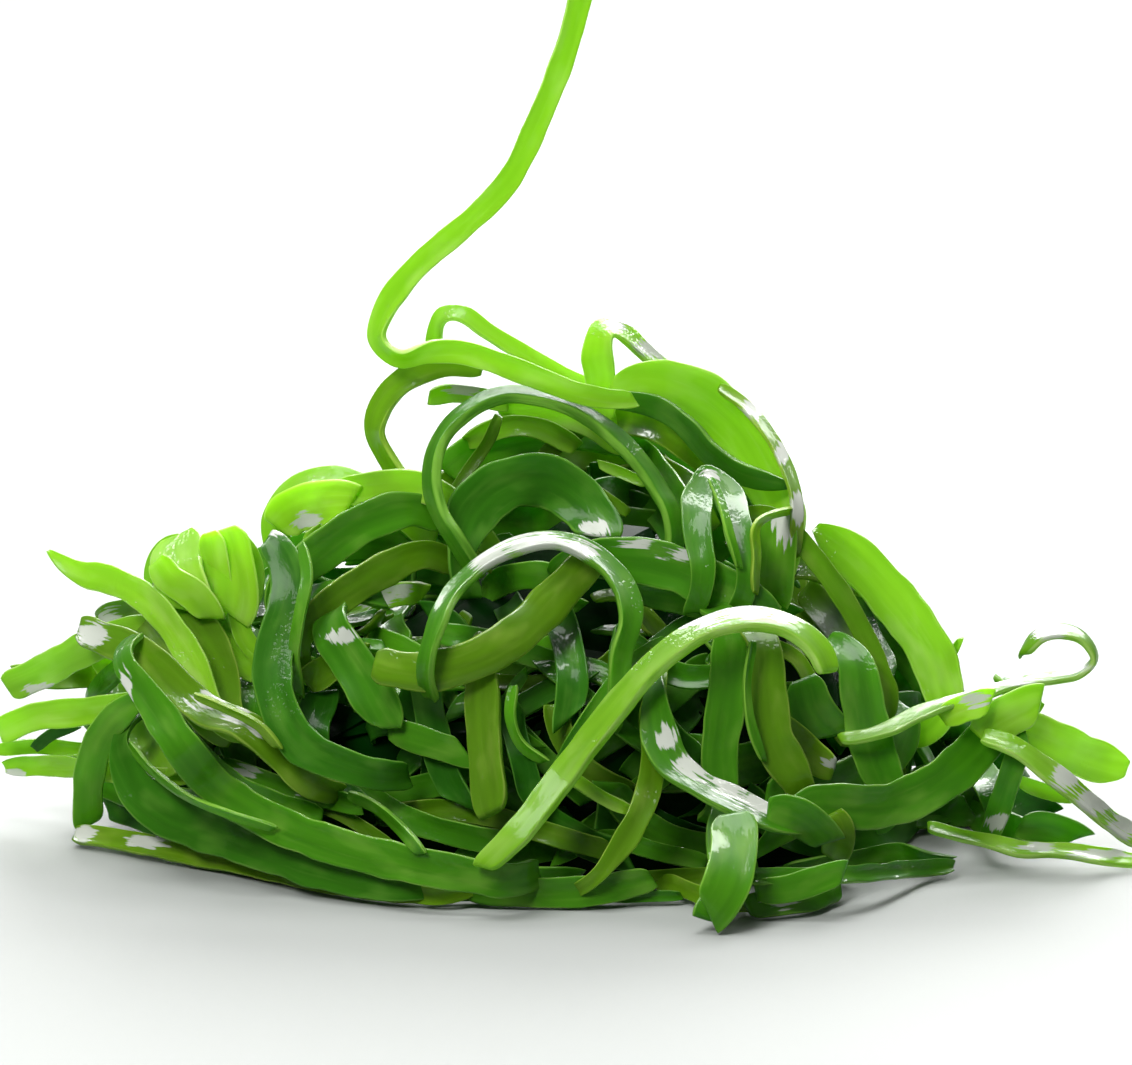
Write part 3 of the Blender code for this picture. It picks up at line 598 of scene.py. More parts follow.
# Short strips seen between the long ones. Stations are across and up in the photograph, and how far
# back each lies where no other strip carries it.
SHORT_STRIPS = [
    ("olive_inner_hoop", "olive", 2, [(-10.5, 65.3, -4), (-12, 61.5, -4), (-15, 57, -6),
        (-18, 52.3, -10)]),
    ("pale_tab", "lime", 3.2, [(-22, 68.2, 2), (-18, 69, 2), (-14, 68.2, 2), (-9, 67, 2)]),
    ("lime_behind_arch", "lime", 3.5, [(-16, 61, 2), (-10, 63.5, 1), (-4, 63, 1), (2, 60, 0)]),
    ("lime_over_crown", "lime", 3, [(-11, 66, 3), (-4, 65.5, 3), (3, 63.5, 2), (9, 60, 0)]),
    ("olive_twist", "olive", 3, [(-5, 57.5, -6), (-2, 60, -4), (1, 62.5, -2), (5, 65.5, 0)]),
    ("pale_chip", "lime", 1.8, [(5, 57.5, -10), (9, 56, -10), (13, 54, -11)]),
    ("olive_chip", "olive", 2.2, [(3, 54.5, -10), (6, 52, -12), (10, 49.5, -13)]),
    ("olive_under_ridge", "olive", 4, [(3, 66, -2), (10, 64, -4), (15, 62.3, -5), (19, 60, -7),
        (24, 56, -9)]),
    ("green_under_blade", "green", 5, [(8, 62, -3), (13, 58, -7), (17, 53, -10), (20, 47, -15)]),
    ("deep_under_blade", "deep", 6, [(24, 55, -9), (27, 50, -12), (29, 44, -16)]),
    ("lime_under_blade", "lime", 4, [(24, 60, 0), (28, 56, -2), (31, 51, -5)]),
    ("crown_green", "green", 6, [(-19, 56, 0), (-14, 60, 0), (-6, 62, 2), (4, 62.5, 3), (14, 60, 3),
        (22, 56, 2), (28, 50, 0)]),
    ("crown_olive", "olive", 6, [(-22, 50, -3), (-15, 56, -2), (-5, 59, -2), (6, 59, -3), (17, 55, -5),
        (25, 48, -9)]),
    ("left_curl", "green", 3, [(-49, 37, -18), (-47, 40, -16), (-44, 40.5, -17), (-41, 39, -20)]),
    ("glossy_stub", "lime", 4, [(-35, 34, -22), (-30, 36, -20), (-26, 37, -20), (-22, 37, -22)]),
    ("green_cup", "green", 3, [(-20, 45, -15), (-16, 43.6, -17), (-12, 44.2, -17), (-8, 46, -16)]),
    ("dark_leaf", "deep", 4, [(-9, 21, -40), (-8, 15, -42), (-6.5, 10, -44), (-5, 5, -46)]),
    ("glassy_curl", "green", 2, [(-6, 25, -38), (-9, 21, -40), (-8, 16, -42), (-4, 13, -43)]),
    ("gloss_blade", "green", 4.5, [(-28, 16, -38), (-21, 13.8, -40), (-15, 12, -43)]),
    ("small_lime", "lime", 2.2, [(0, 9, -46), (5, 5.8, -48), (10, 3.5, -49)]),
    ("olive_stub", "olive", 5, [(-41, 23, -28), (-36, 25.8, -28), (-32, 27, -29)]),
    ("arch_partner", "green", 2.6, [(-6, 2, -50), (-2, 8, -49), (1, 14, -47), (5, 20, -45), (10, 26, -42),
        (16, 30, -40)]),
    ("deep_hanging", "deep", 5, [(-2, 36, -30), (0, 30, -34), (1, 24, -38), (0, 17, -42)]),
    ("deep_drop", "deep", 5, [(-22, 24, -36), (-21, 17, -40), (-19, 10, -43), (-16, 4, -46)]),
    ("mid_green_blade", "green", 5.5, [(9, 38.5, -27), (16, 37, -28), (22, 35.5, -30), (28, 34.5, -31),
        (35, 33, -32)]),
    ("under_arch_stem", "olive", 2.4, [(31, 29.5, -38), (36, 27, -38), (39, 22, -39), (42, 17, -40),
        (44, 13, -41)]),
    ("under_arch_leaf", "olive", 5, [(31, 17.5, -42), (35, 15, -43), (38, 12, -44), (42, 9.5, -45)]),
    ("dark_inside_ring", "deep", 5, [(13, 20, -42), (15, 16, -44), (18, 13, -45), (21, 11, -46)]),
    ("green_bend", "green", 7, [(53, 20, -28), (52, 14, -33), (49, 10, -37), (44, 8, -41), (37, 6.5, -45),
        (31, 5, -47)]),
    ("green_stub", "green", 4.5, [(42, 3, -44), (41.5, 0, -46), (41, -3, -48)]),
    ("right_low_blade", "green", 6, [(57, 4, -34), (61, 1.5, -35), (65, -1.5, -36)]),
    ("right_fold_over", "lime", 6, [(65.5, 16, -24), (70, 18.5, -22), (74, 21, -21)]),
    ("right_lime_chip", "lime", 4, [(58, 18, -26), (61, 19, -25), (65, 18, -24)]),
    ("right_spike", "lime", 1.5, [(60, 24, -18), (61, 27, -17), (62.3, 30, -17)]),
    ("right_lime_stick", "lime", 2.5, [(70.5, 7.5, -26), (75, 6, -25), (79, 5, -25)]),
    ("right_green_stub", "green", 5, [(71, 0.5, -28), (76, 0.3, -27), (81, -1.5, -27)]),
    ("right_olive_face", "olive", 5, [(38, 38, -20), (44, 30, -24), (49, 22, -28)]),
    ("right_dark_strip", "deep", 3, [(42, 41, -14), (46, 36, -17), (49, 30, -20), (52, 24, -23)]),
    ("right_beaded_blade", "olive", 5, [(35, 44, -17), (36, 38, -21), (37, 32, -25), (38, 27, -28)]),
    ("right_lime_partner", "lime", 2, [(34, 45, -15), (40, 38, -18), (44, 31, -21)]),
    ("right_back_fall", "green", 6, [(44, 40, -6), (50, 34, -9), (55, 27, -12), (60, 20, -15),
        (64, 12, -18)]),
    ("right_low_fall", "green", 5, [(52, 26, -18), (57, 20, -20), (62, 14, -22), (66, 8, -25),
        (69, 2, -28)]),
    ("left_chevron", "lime", 4.5, [(-72, 33, -8), (-74.3, 30.5, -9), (-74, 26.5, -11), (-71.5, 22, -14),
        (-69, 17, -17), (-66, 12, -20), (-63, 8, -24)]),
    ("left_sweep_green", "green", 4, [(-70, 25.5, -13), (-66, 21.5, -17), (-61.5, 16, -22), (-57, 11, -27),
        (-52, 7, -31), (-46, 4.5, -35), (-38, 2, -39)]),
    ("left_sweep_deep", "deep", 3, [(-68, 14, -18), (-66, 8, -21), (-61, 4, -26), (-54, 2, -31),
        (-46, 0, -36)]),
    ("left_gloss_sweep", "green", 3.5, [(-56, 10.5, -28), (-50, 8.5, -31), (-45, 7, -34), (-38, 5.5, -38),
        (-32, 4, -41)]),
    ("left_olive_sweep", "olive", 2.2, [(-43, 5, -37), (-38, 4, -40), (-33, 1.5, -43), (-27, -2.5, -47)]),
    ("left_dark_crossing", "deep", 2, [(-85, 12, 0), (-82, 14.5, -2), (-78, 16, -4)]),
    ("left_lime_low", "lime", 2.5, [(-91, 12, 2), (-85, 12.5, 0), (-78, 12, -3), (-70, 11, -8)]),
    ("left_olive_high", "olive", 4, [(-88, 24, 3), (-80, 23.5, 0), (-73, 24, -5)]),
    ("thin_diagonal", "lime", 1.4, [(-35.5, 52, -6), (-37.5, 48.5, -8), (-41.5, 45.8, -11)]),
    ("lime_in_curl", "lime", 5, [(-43, 47, 2), (-41, 50, 2), (-38, 51.5, 1), (-33, 51, -1)]),
    ("green_behind_wave", "green", 6, [(-52, 33, -14), (-50, 25, -20), (-50, 17, -26), (-52, 9, -30)]),
    ("deep_left_drop", "deep", 6, [(-38, 22, -32), (-40, 15, -35), (-38, 8, -38), (-32, 3, -42)]),
    ("lime_in_loop", "lime", 5, [(-62, 36, -4), (-60, 40, -4), (-57, 38, -6), (-55, 33, -9)]),
    ("lime_behind_loop", "lime", 4, [(-60, 44, -1), (-56, 40, -3), (-53, 35, -7)]),
    ("foot_low_strip", "green", 1.8, [(-21, -11.5, -56), (-10, -10.6, -54), (0, -10.8, -54),
        (10, -10.9, -54), (18, -10.5, -53)]),
    ("foot_olive_patch", "olive", 3, [(12, -8, -52), (18, -7, -52), (24, -7.5, -52)]),
    ("foot_green", "green", 4, [(-34, -3, -44), (-26, -6, -47), (-18, -8, -50), (-8, -8.5, -52),
        (2, -8, -52)]),
    ("foot_drop_partner", "green", 5, [(27, -2, -50), (27.5, -7, -54), (24, -10.5, -58)]),
    ("foot_right_rim", "green", 3, [(33, -6, -48), (42, -7.5, -46), (50, -6.8, -42), (60, -6.8, -38)]),
    ("low_cross_1", "green", 4, [(-34, 8, -38), (-27, 3, -42), (-18, 0, -46), (-8, -2, -48)]),
    ("low_cross_2", "olive", 3.5, [(-30, 2, -42), (-20, 3.5, -44), (-10, 2, -46), (0, -1, -48),
        (8, -3, -49)]),
    ("low_cross_3", "deep", 5, [(-12, 10, -44), (-6, 4, -47), (2, -1, -49), (10, -4, -50)]),
    ("low_cross_4", "green", 3, [(-2, -4, -50), (6, -1, -50), (14, -3, -50), (22, -5, -50)]),
    ("low_cross_5", "green", 5, [(6, 8, -47), (11, 2, -49), (18, -2, -50), (27, -3, -50)]),
    ("low_cross_6", "deep", 5, [(28, 6, -47), (34, 0, -49), (42, -2, -46), (52, -1, -42), (60, 2, -36)]),
    ("low_cross_7", "green", 4, [(-44, 10, -34), (-38, 8, -38), (-30, 6, -41), (-22, 7, -43),
        (-14, 9, -44)]),
    ("crown_gap_1", "green", 5, [(0, 50, -12), (6, 53, -12), (12, 53.5, -12), (19, 51, -13)]),
    ("crown_gap_2", "deep", 5, [(4, 56, -8), (10, 54, -11), (15, 50, -14), (18, 45, -18)]),
    ("crown_gap_3", "olive", 4, [(12, 60, -4), (16, 56, -8), (19, 51, -12), (20, 45, -16)]),
    ("crown_gap_4", "deep", 7, [(3, 52.5, -14), (9, 50.5, -14), (14, 48.5, -15), (20, 46, -17)]),
    ("behind_crown_1", "deep", 7, [(-24, 52, 0), (-12, 54, -2), (0, 54, -3), (12, 53, -2), (24, 50, 0)]),
    ("behind_crown_2", "green", 7, [(-26, 46, -4), (-13, 48, -7), (0, 48, -9), (13, 47, -8),
        (28, 44, -4)]),
    ("behind_arm_1", "green", 6, [(-52, 40, -6), (-44, 43, -6), (-34, 45, -6), (-24, 44, -8)]),
    ("behind_arm_2", "deep", 6, [(-58, 33, -6), (-48, 37, -8), (-38, 38, -10), (-26, 38, -12)]),
    ("behind_left_1", "green", 5, [(-80, 10, 4), (-72, 6, 0), (-62, 4, -6), (-52, 4, -12)]),
    ("behind_left_2", "deep", 5, [(-74, 2, 0), (-66, 0, -8), (-58, -1, -16), (-50, -2, -24)]),
    ("behind_right_1", "green", 6, [(34, 44, -4), (42, 40, -6), (48, 34, -10), (54, 26, -14)]),
    ("arm_gap", "green", 6, [(-34, 44, -12), (-28, 46, -11), (-22, 47, -12), (-16, 45, -14)]),
    ("arm_gap_low", "deep", 5, [(-38, 36, -16), (-30, 40, -15), (-22, 41, -17), (-14, 39, -20)]),
    ("side_gap_1", "green", 6, [(-58, 30, -12), (-54, 22, -18), (-52, 14, -22), (-48, 6, -28)]),
    ("side_gap_2", "deep", 6, [(-66, 22, -12), (-62, 14, -17), (-56, 7, -22), (-48, 2, -28)]),
    ("side_gap_3", "olive", 4.5, [(-72, 20, -8), (-70, 12, -12), (-66, 5, -16), (-58, 0, -22)]),
    ("right_gap_1", "green", 6, [(62, 14, -20), (64, 6, -24), (62, 0, -30), (56, -4, -36)]),
    ("right_gap_2", "deep", 6, [(50, 24, -22), (56, 16, -25), (60, 8, -28), (62, 1, -32)]),
    ("arch_fill_1", "green", 4.5, [(-14, 36, -28), (-10, 39, -27), (-4, 40, -26), (2, 38, -27)]),
    ("arch_fill_2", "deep", 5, [(-12, 40, -26), (-9, 35, -29), (-7, 30, -32)]),
    ("arch_fill_3", "olive", 3.5, [(-3, 41, -25), (-2, 36, -28), (-4, 31, -31)]),
    ("arch_fill_4", "green", 3, [(-15, 33, -30), (-9, 34, -30), (-3, 36, -29), (3, 35, -29)]),
    ("centre_fill_1", "green", 4, [(10, 30, -38), (14, 26, -40), (19, 24, -41), (24, 24, -41)]),
    ("centre_fill_2", "olive", 4, [(-2, 20, -42), (0, 14, -44), (4, 9, -46), (10, 6, -47)]),
    ("centre_fill_3", "deep", 5, [(-26, 22, -36), (-22, 18, -38), (-20, 11, -41), (-22, 4, -44)]),
    ("right_low_fill", "green", 6, [(56, 9, -34), (62, 4.5, -34), (68, 0.5, -32), (73, -1.5, -30)]),
    ("right_low_deep", "deep", 6, [(58, 12, -30), (64, 8, -28), (70, 5, -26), (76, 2, -24)]),
    ("foot_front_olive", "olive", 3, [(14, -10.5, -55), (21, -11.5, -58), (30, -12.3, -60),
        (38, -11, -56)]),
]
# How far the short strips rise over the mat, and how far a strip stays under the next
SHORT_RISE = 1.6
CLEAR_OF_NEXT = 0.35
# A strip can pass under others that lie down to here below the mat's surface
DEEPEST = 20.0
# Rays start this far out from a strip, or this far before it on the camera's side, and are this long
OUTSIDE = 150
BEFORE_HEAP = 200
RAY_LENGTH = 400.0
# Places across a strip that are tested, and over how many rows to each side it is eased
TESTED_ACROSS = (-1, -0.5, 0, 0.5, 1)
TUCK_REACH = 2
TOP_REACH = 3
# The lowest that a tucked strip's corner may be
CORNER_HEIGHT = 0.2
# Short and matted strips turn in waves this long, by up to these angles in radians. Then come the
# waves in their edges, and the most by which their ends slant and their tone differs.
ROLL_WAVE = 30
SHORT_ROLL, MATTED_ROLL = 0.3, 0.45
SHORT_RUFFLE, MATTED_RUFFLE = 0.25, 0.4
SHORT_SKEW = 1.1
SHORT_TONE, MATTED_TONE = 0.3, 0.4


def rolled(half_width, normals, travel, most):
    """The sections turned about the strip's own run, by up to about this angle, in slow waves."""
    angle = (wavy(len(travel), SHORT_ROW_STEP, ROLL_WAVE, most) + either_way(most) / 2)[:, None]
    turned = half_width * np.cos(angle) + np.cross(travel, half_width) * np.sin(angle)
    return turned, normals * np.cos(angle) + np.cross(travel, normals) * np.sin(angle)


class Tangle:
    """The strips laid so far, which later ones are tucked under, and the mat's surface."""

    def __init__(self):
        self.points, self.faces = [], []
        for name, node in frame["nodes"].items():
            if name == MAT:
                self.mat = BVHTree.FromPolygons(*self.triangles(node.data))
            else:
                self.take(*self.triangles(node.data))
        self.renew()

    @staticmethod
    def triangles(mesh):
        """The mesh's places in millimetres, and its faces."""
        points = [tuple(np.array(vert.co) / MM) for vert in mesh.vertices]
        return points, [tuple(face.vertices) for face in mesh.polygons]

    def take(self, points, faces):
        """Adds places and faces to the strips laid so far."""
        start = len(self.points)
        self.points += points
        self.faces += [tuple(start + index for index in face) for face in faces]

    def renew(self):
        """Makes the tree of the strips again, with what was added."""
        self.above = BVHTree.FromPolygons(self.points, self.faces)

    def take_strip(self, centres, half_width, out):
        """Adds a new strip's inner face, coarsely, for the next ones to pass under."""
        inner = centres - out * FILL_THICK / 2
        points = np.stack([inner - half_width, inner + half_width], axis=1).reshape(-1, 3)
        faces = [(2 * i, 2 * i + 1, 2 * i + 3, 2 * i + 2) for i in range(len(centres) - 1)]
        self.take([tuple(point) for point in points], faces)
        self.renew()


def reach_of(tree, start, direction):
    """How far along the direction the tree is first met, or None."""
    return tree.ray_cast(Vector(start), Vector(direction), RAY_LENGTH)[3]


def eased(values, reach, pick):
    """Each value made the least or most of its neighbours, as pick says, and then smoothed."""
    window = 2 * reach + 1
    padded = np.pad(values, reach, mode="edge")
    picked = np.array([pick(padded[i:i + window]) for i in range(len(values))])
    padded = np.pad(picked, reach, mode="edge")
    weights = np.hanning(window + 2)[1:-1]
    return np.array([padded[i:i + window] @ weights for i in range(len(values))]) / weights.sum()


def tuck(centres, half_width, out, tangle, rise):
    """Moves each row outwards: on the mat, raised by rise, but under what lies over it."""
    place = np.zeros(len(centres))
    for row, (centre, half, outward) in enumerate(zip(centres, half_width, out)):
        lowest = []
        for s in TESTED_ACROSS:
            point = centre + half * s
            down = reach_of(tangle.mat, point + outward * OUTSIDE, -outward)
            mat = OUTSIDE - down + rise[row] if down is not None else 0.0
            up = reach_of(tangle.above, point + outward * (mat - DEEPEST), outward)
            strip_over = up + mat - DEEPEST - CLEAR_OF_NEXT - FILL_THICK / 2 if up is not None else mat
            lowest.append(min(mat, strip_over))
        place[row] = min(lowest)
    moved = centres + out * eased(place, TUCK_REACH, np.min)[:, None]
    lowest_corner = moved[:, 2] - np.abs(half_width[:, 2]) - FILL_THICK / 2
    moved[:, 2] += np.maximum(0, CORNER_HEIGHT - lowest_corner)
    return moved


def laid(centres, width, out, tangle, rise, roll):
    """A strip's centres, half widths and normals, tucked in and rolled. The tangle takes it in."""
    travel = unit(np.gradient(centres, axis=0))
    half_width = unit(np.cross(travel, out)) * width / 2
    centres = tuck(centres, half_width, out, tangle, np.broadcast_to(rise, len(centres)))
    tangle.take_strip(centres, half_width, out)
    travel = unit(np.gradient(centres, axis=0))
    normals = unit(np.cross(travel, half_width))
    if normals[0] @ out[0] < 0:
        normals = -normals
    return centres, *rolled(half_width, normals, travel, roll)


def in_space(stations):
    """Stations given across, up in the photograph and back, as places in space."""
    across, up, back = np.array(stations, float).T
    height = (up - back * math.sin(LOOKS_DOWN)) / math.cos(LOOKS_DOWN)
    return np.column_stack([across, back, height])


def lay_short_strips(tangle):
    """Lays the short strips, each on the mat and under what the photograph shows over it."""
    for name, slot, width, stations in SHORT_STRIPS:
        centres = resample(in_space(stations), SHORT_ROW_STEP)
        out = np.tile(TO_CAMERA, (len(centres), 1))
        sections = laid(centres, width, out, tangle, SHORT_RISE, SHORT_ROLL)
        skew = both_ends(SHORT_SKEW)
        strip(name, "kelp_" + slot, *sections, FILL_THICK, ACROSS, chance.uniform(0.2, 0.8),
              SHORT_RUFFLE, skew, either_way(SHORT_TONE))


# Strips that lie on top of all others: width, how far each is turned from facing the camera in
# degrees, and tone. Stations are across, up and, where it stands further off, by how much.
TOP_STRIPS = [
    ("blade_rim", "olive", 2.4, 40, 0.5, [(24, 69.6), (28.3, 66.8), (32.6, 61.2), (35, 56),
        (36.3, 50.5), (36.2, 47, 0.4), (35.6, 43)]),
    ("left_petal", "lime", 9, 20, 0.3, [(-61.4, 46.4), (-61.2, 42), (-60.4, 38), (-58.8, 34)]),
    ("left_petal_fold", "lime", 5, 10, 0.25, [(-64.4, 42.4, 0.3), (-62.4, 39.4, 0.3), (-58.4, 37, 0.3),
        (-55.4, 33, 0.2)]),
    ("mid_petal", "lime", 8.6, 0, 0.45, [(-54.2, 47.2), (-53.4, 43), (-52.6, 38.5), (-52.8, 33.6)]),
    ("mid_petal_pale", "lime", 4.4, 15, 0.9, [(-56, 46.8, 0.3), (-55.2, 43, 0.3), (-54.4, 39, 0.2),
        (-55, 34.5)]),
    ("curl_petal", "lime", 7.6, 0, 0.6, [(-46.2, 47.4), (-43.4, 50), (-39.2, 51), (-33.6, 51.4)]),
    ("right_fold", "lime", 6.6, 0, 0.1, [(64.4, 14.6), (68.4, 17.6), (74.4, 20.4)]),
    ("right_chip", "lime", 4.6, 0, 0.5, [(58.6, 17.4), (62, 19.2), (66.6, 20.4)]),
    ("drop_flap", "green", 7.4, 0, 0.35, [(25.8, 3.6), (25.8, -2), (24.6, -7), (21.8, -12)]),
    ("foot_flap", "green", 4.4, 0, 0.2, [(29, -8.6), (34, -8.2), (38.6, -6.8), (43, -5.4)]),
    ("sheet_patch", "green", 7, 0, -0.1, [(37, 24), (38.6, 18.6), (42, 14.6)]),
    ("low_patch", "green", 6, 0, 0.1, [(31, 4), (36.5, 2.4), (41, -1.4)]),
    ("grey_patch", "olive", 5, 0, 0.3, [(41.4, 3.4), (42.6, -0.6), (41.4, -4.4)]),
    ("blade_flap", "green", 6.8, 0, 0.7, [(33, 50, 1.2), (32.9, 46, 0.6), (32.6, 41, 0.2), (32.4, 36)]),
    ("flap_edge", "olive", 1.5, 40, 0.6, [(36.2, 50.4, 1.4), (33.2, 49.8, 1.5), (29.8, 48.2, 1.4),
        (29.6, 43, 0.8), (29.4, 37, 0.4)]),
    ("leaf_rim", "green", 1.3, 35, 0.5, [(22.4, 55.2, 0.4), (24, 52, 0.4), (25.4, 47, 0.2), (27, 41)]),
    ("wave_fold", "green", 2, 30, 0.35, [(-41.5, 45), (-40.4, 40), (-41.4, 34), (-42.4, 27), (-41.6, 21)]),
    ("band_glint", "olive", 1.6, 45, 0.3, [(-58, 21.5), (-53, 19.4), (-48, 17), (-44.4, 13)]),
    ("low_fold", "green", 2.2, 40, 0.2, [(-34, 6), (-29, 3.6), (-25, 0.4), (-22, -3)]),
    ("crescent_edge", "green", 1.4, 40, 0.4, [(-69, 13.5), (-65.5, 9.6), (-60, 5.8), (-53, 3.2),
        (-45, 0.6)]),
    ("centre_glint", "green", 1.8, 35, 0.3, [(-8, 23), (-8.6, 18), (-6.8, 13.6), (-3, 11)]),
    ("sheet_edge", "green", 1.4, 35, 0.3, [(29, 30), (28, 24), (28.6, 17), (30.6, 11)]),
]
# All of them stand off by this much more. Their start is blunt and their ends slant.
STANDS_OFF = 0.7
BLUNT_START = 0.6
TOP_CURL, TOP_RUFFLE = 0.2, 0.2
TOP_SKEW = (0.1, -0.5)


def seen_from_camera(place, tangle):
    """How far towards the camera from the place the nearest strip or mat lies, or not a number."""
    start = place + TO_CAMERA * BEFORE_HEAP
    reaches = [reach_of(tree, start, -TO_CAMERA) for tree in (tangle.above, tangle.mat)]
    return max((BEFORE_HEAP - reach for reach in reaches if reach is not None), default=math.nan)


def lay_top_strips(tangle):
    """Lays the top strips on whatever the camera sees along their routes."""
    for name, slot, width, turn, tone, stations in TOP_STRIPS:
        flat = in_space([(across, up, 0) for across, up, *_ in stations])
        rows = resample(np.column_stack([flat, [sum(off) for _, _, *off in stations]]), SHORT_ROW_STEP)
        lift = np.array([seen_from_camera(place, tangle) for place in rows[:, :3]])
        known = np.flatnonzero(np.isfinite(lift))
        lift = eased(np.interp(np.arange(len(lift)), known, lift[known]), TOP_REACH, np.max)
        centres = rows[:, :3] + TO_CAMERA * (lift + rows[:, 3] + STANDS_OFF)[:, None]
        travel = unit(np.gradient(centres, axis=0))
        side = unit(np.cross(travel, TO_CAMERA))
        facing = unit(np.cross(side, travel))
        facing = facing if facing[0] @ TO_CAMERA > 0 else -facing
        middle = len(side) // 2
        outward = side if side[middle] @ (centres[middle] - HEART) > 0 else -side
        angle = math.radians(turn)
        normals = unit(facing * math.cos(angle) + outward * math.sin(angle))
        from_start = np.arange(len(centres)) * SHORT_ROW_STEP
        blunt = np.sin(math.pi / 2 * np.clip(BLUNT_START + 2 * from_start / width, 0, 1))
        half_width = unit(np.cross(travel, normals)) * (blunt * width / 2)[:, None]
        strip(name, "kelp_" + slot, centres, half_width, normals, TOP_THICK, ACROSS, TOP_CURL,
              TOP_RUFFLE, TOP_SKEW, tone)


# Rounds of matted strips from the outside in: how many, their rise over the mat and its wave, their
# colours, and the side of the heap they lie on. The colour inner is the darker shaded copy, painted shade.
MATTED_ROUNDS = [
    (60, 2.2, 1.2, ["olive", "green", "green", "deep", "deep"], "front"),
    (30, 3.5, 2.5, ["lime", "olive", "green", "green"], "back"),
    (26, 1.8, 1.4, ["olive", "green", "green", "deep"], "back"),
    (40, 0.6, 0.8, ["green", "deep", "deep", "inner"], "front"),
    (44, 0.8, 1.2, ["olive", "green", "green", "deep"], "all"),
    (50, -2.0, 1.0, ["green", "deep", "deep", "inner"], "all"),
]


# A route is a fan of directions from the heart of the heap, this much wider across than deep. Then
# come how many they are at the front and elsewhere, and how often the route is smoothed.
WIDER = 1.5
FRONT_RAYS = 16
LONG_RAYS = 30
SMOOTHED = 3
# The least and greatest width of the matted strips at the front and elsewhere, and the length of the
# waves in which they rise and fall
FRONT_WIDTHS = (2.4, 5.5)
OTHER_WIDTHS = (3.5, 7.5)
RISE_WAVE = 40


def front_route():
    """A short bent run over the side of the mat that faces the camera, seen from its heart."""
    heading = chance.uniform(-math.pi - 0.1, 0.1)
    t = np.linspace(0, 1, FRONT_RAYS)
    angle = heading + either_way(0.7) * t + either_way(0.25) * np.sin(math.pi * t)
    start = chance.uniform(0.0, 1.3)
    climb = start + either_way(0.8) * t + chance.uniform(-0.2, 0.4) * np.sin(math.pi * t)
    return unit(np.stack([np.cos(angle) * WIDER, np.sin(angle), np.maximum(climb, -0.05)], axis=1))


def matted_route(hidden_side):
    """A run over the mat, from one direction to another as seen from its heart."""
    heading = chance.uniform(0.05, math.pi - 0.05) if hidden_side else chance.uniform(0, 2 * math.pi)
    swing = chance.uniform(0.5, 1.7) * chance.choice([-1, 1])
    t = np.linspace(0, 1, LONG_RAYS)
    angle = heading + swing * t
    if hidden_side:
        angle = np.clip(angle, -0.15, math.pi + 0.15)
    low, high = chance.uniform(0.05, 0.6), chance.uniform(0.3, 1.6)
    climb = low + (high - low) * t + chance.uniform(-0.2, 0.5) * np.sin(math.pi * t)
    return unit(np.stack([np.cos(angle) * WIDER, np.sin(angle), climb], axis=1))


def lay_matted_strips(tangle):
    """Lays the rounds of matted strips, each under those before it."""
    number = 0
    for count, rise, wave, colours, place in MATTED_ROUNDS:
        for _ in range(count):
            number += 1
            rays = front_route() if place == "front" else matted_route(place == "back")
            hits = [reach_of(tangle.mat, HEART + ray * OUTSIDE, -ray) for ray in rays]
            if None in hits:
                continue
            route = np.array([HEART + ray * (OUTSIDE - hit) for ray, hit in zip(rays, hits)])
            for _ in range(SMOOTHED):
                route[1:-1] = (route[:-2] + 2 * route[1:-1] + route[2:]) / 4
            centres = resample(route, FILL_ROW_STEP)
            out = unit(centres - HEART)
            width = chance.uniform(*(FRONT_WIDTHS if place == "front" else OTHER_WIDTHS))
            height = np.maximum(rise + wavy(len(centres), FILL_ROW_STEP, RISE_WAVE, wave), rise - wave)
            sections = laid(centres, width, out, tangle, height, MATTED_ROLL)
            slot = "kelp_" + str(chance.choice(colours))
            skew = both_ends(SHORT_SKEW)
            strip(f"matted_{number}", slot, *sections, FILL_THICK, FILL_ACROSS, chance.uniform(0.2, 0.9),
                  MATTED_RUFFLE, skew, either_way(MATTED_TONE))


# The dark inside, painted shade between the strips, is the mat at this scale, at the darkest tone
INSIDE_SCALE = (0.84, 0.8, 0.8)
INSIDE_SHADE_TONE = -1.0


def shaded_inside():
    """A dark copy of the mat at the heart of the heap: painted shade, seen between the strips."""
    bm = bmesh.new()
    bm.from_mesh(frame["nodes"][MAT].data)
    bmesh.ops.remove_doubles(bm, verts=bm.verts[:], dist=SAME_PLACE * MM)
    bmesh.ops.scale(bm, vec=INSIDE_SCALE, verts=bm.verts[:])
    share = bm.loops.layers.uv.new("strip_share")
    in_mm = bm.loops.layers.uv.new("strip_mm")
    tone_of = bm.verts.layers.float.new("tone")
    bm.verts.layers.float.new("glare")
    for vert in bm.verts:
        vert[tone_of] = INSIDE_SHADE_TONE
    for face in bm.faces:
        for loop in face.loops:
            loop[in_mm].uv = (loop.vert.co.x / MM, loop.vert.co.z / MM)
            loop[share].uv = (0.5, 0)
    piece = made(bm, "kelp_inside", KELP["kelp_inner"])
    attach(piece, "root")
    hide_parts(MAT)


# The studio

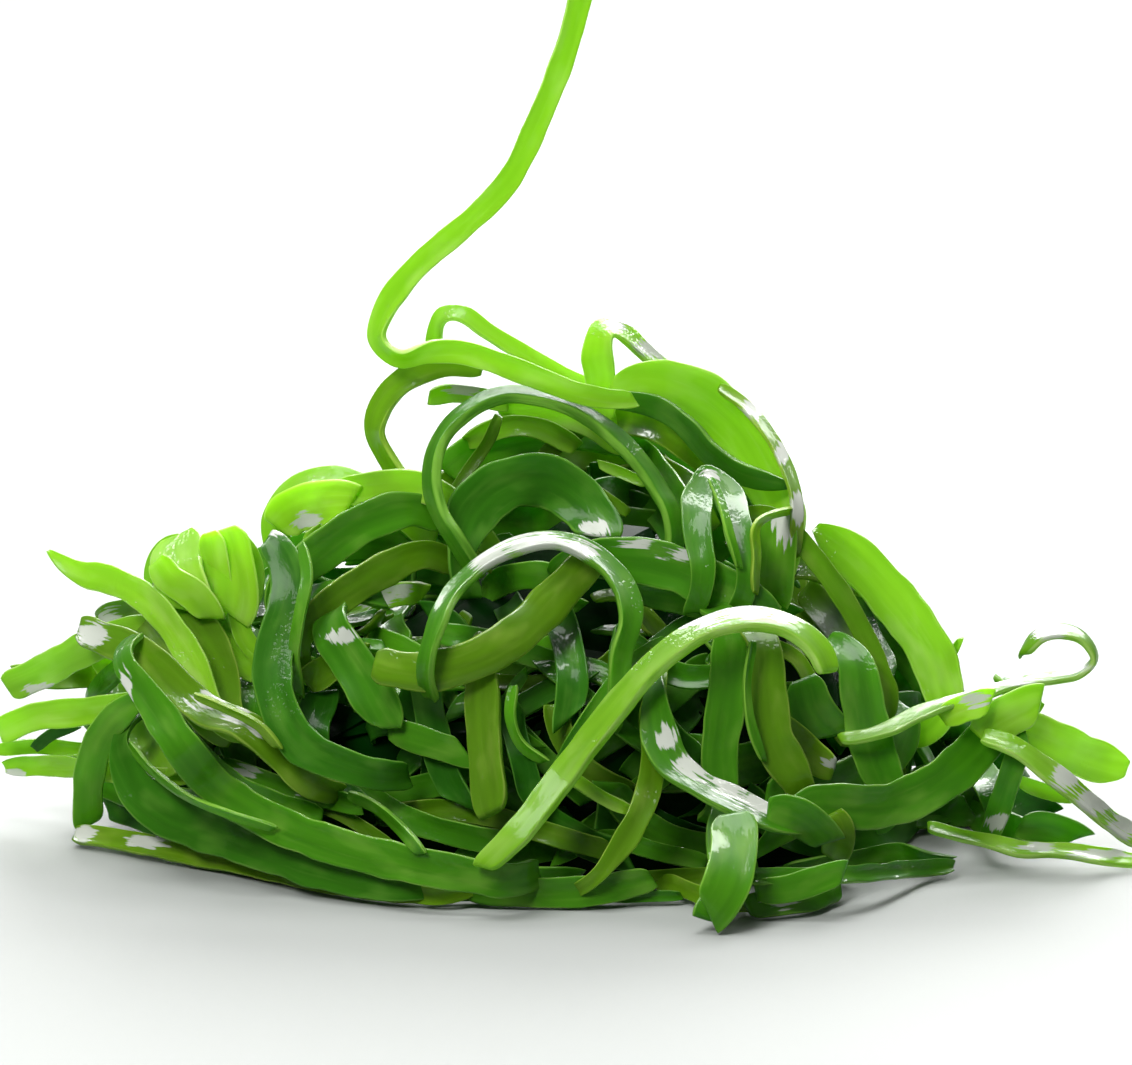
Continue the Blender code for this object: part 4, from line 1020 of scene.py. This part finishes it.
def softbox(name, place, aim, size, power):
    """A rectangular white light, unseen itself, at a place in millimetres and aimed at another."""
    light = bpy.data.lights.new(name, "AREA")
    light.shape = "RECTANGLE"
    light.size, light.size_y = size[0] * MM, size[1] * MM
    light.energy = power
    lamp = bpy.data.objects.new(name, light)
    lamp.location = Vector(place) * MM
    lamp.rotation_euler = (Vector(place) - Vector(aim)).to_track_quat("Z", "Y").to_euler()
    lamp.visible_camera = False
    bpy.context.scene.collection.objects.link(lamp)
    return lamp


def studio():
    """The pale floor, the soft light and the camera, from the photograph's side."""
    bm = bmesh.new()
    bmesh.ops.create_grid(bm, x_segments=1, y_segments=1, size=6000 * MM)
    floor = made(bm, "floor", matte("pale_paper", "#8E918E", 0.8))

    world = bpy.data.worlds.new("studio")
    world.use_nodes = True
    background = world.node_tree.nodes["Background"]
    background.inputs["Color"].default_value = linear("#E2E3DF")
    background.inputs["Strength"].default_value = 0.22
    bpy.context.scene.world = world
    softbox("back_softbox", (150, 800, 520), (0, 0, 40), (800, 500), 22)
    softbox("top_softbox", (-120, -60, 900), (0, 0, 30), (420, 420), 7)
    fill = softbox("front_fill", (-520, -800, 900), (0, 0, 40), (450, 450), 16)
    fill.visible_glossy = False
    glare = softbox("water_glare", (0, 420, 820), (0, 0, 60), (1100, 330), 34)
    glare.visible_diffuse = glare.visible_transmission = False

    camera = bpy.data.objects.new("camera", bpy.data.cameras.new("camera"))
    camera.data.sensor_width = SENSOR_WIDTH
    camera.data.lens = SENSOR_WIDTH * CAMERA_DISTANCE / FRAME_WIDTH
    camera.location = Vector(AIMED_AT + TO_CAMERA * CAMERA_DISTANCE) * MM
    camera.rotation_euler = Vector(TO_CAMERA).to_track_quat("Z", "Y").to_euler()
    bpy.context.scene.collection.objects.link(camera)
    bpy.context.scene.camera = camera
    bpy.context.scene.view_settings.view_transform = "Standard"


slots = {part["node"]: part["material_slot"] for part in frame["record"]["subparts"]}
dress_long_strips(slots)
tangle = Tangle()
lay_short_strips(tangle)
lay_matted_strips(tangle)
lay_top_strips(tangle)
shaded_inside()
studio()
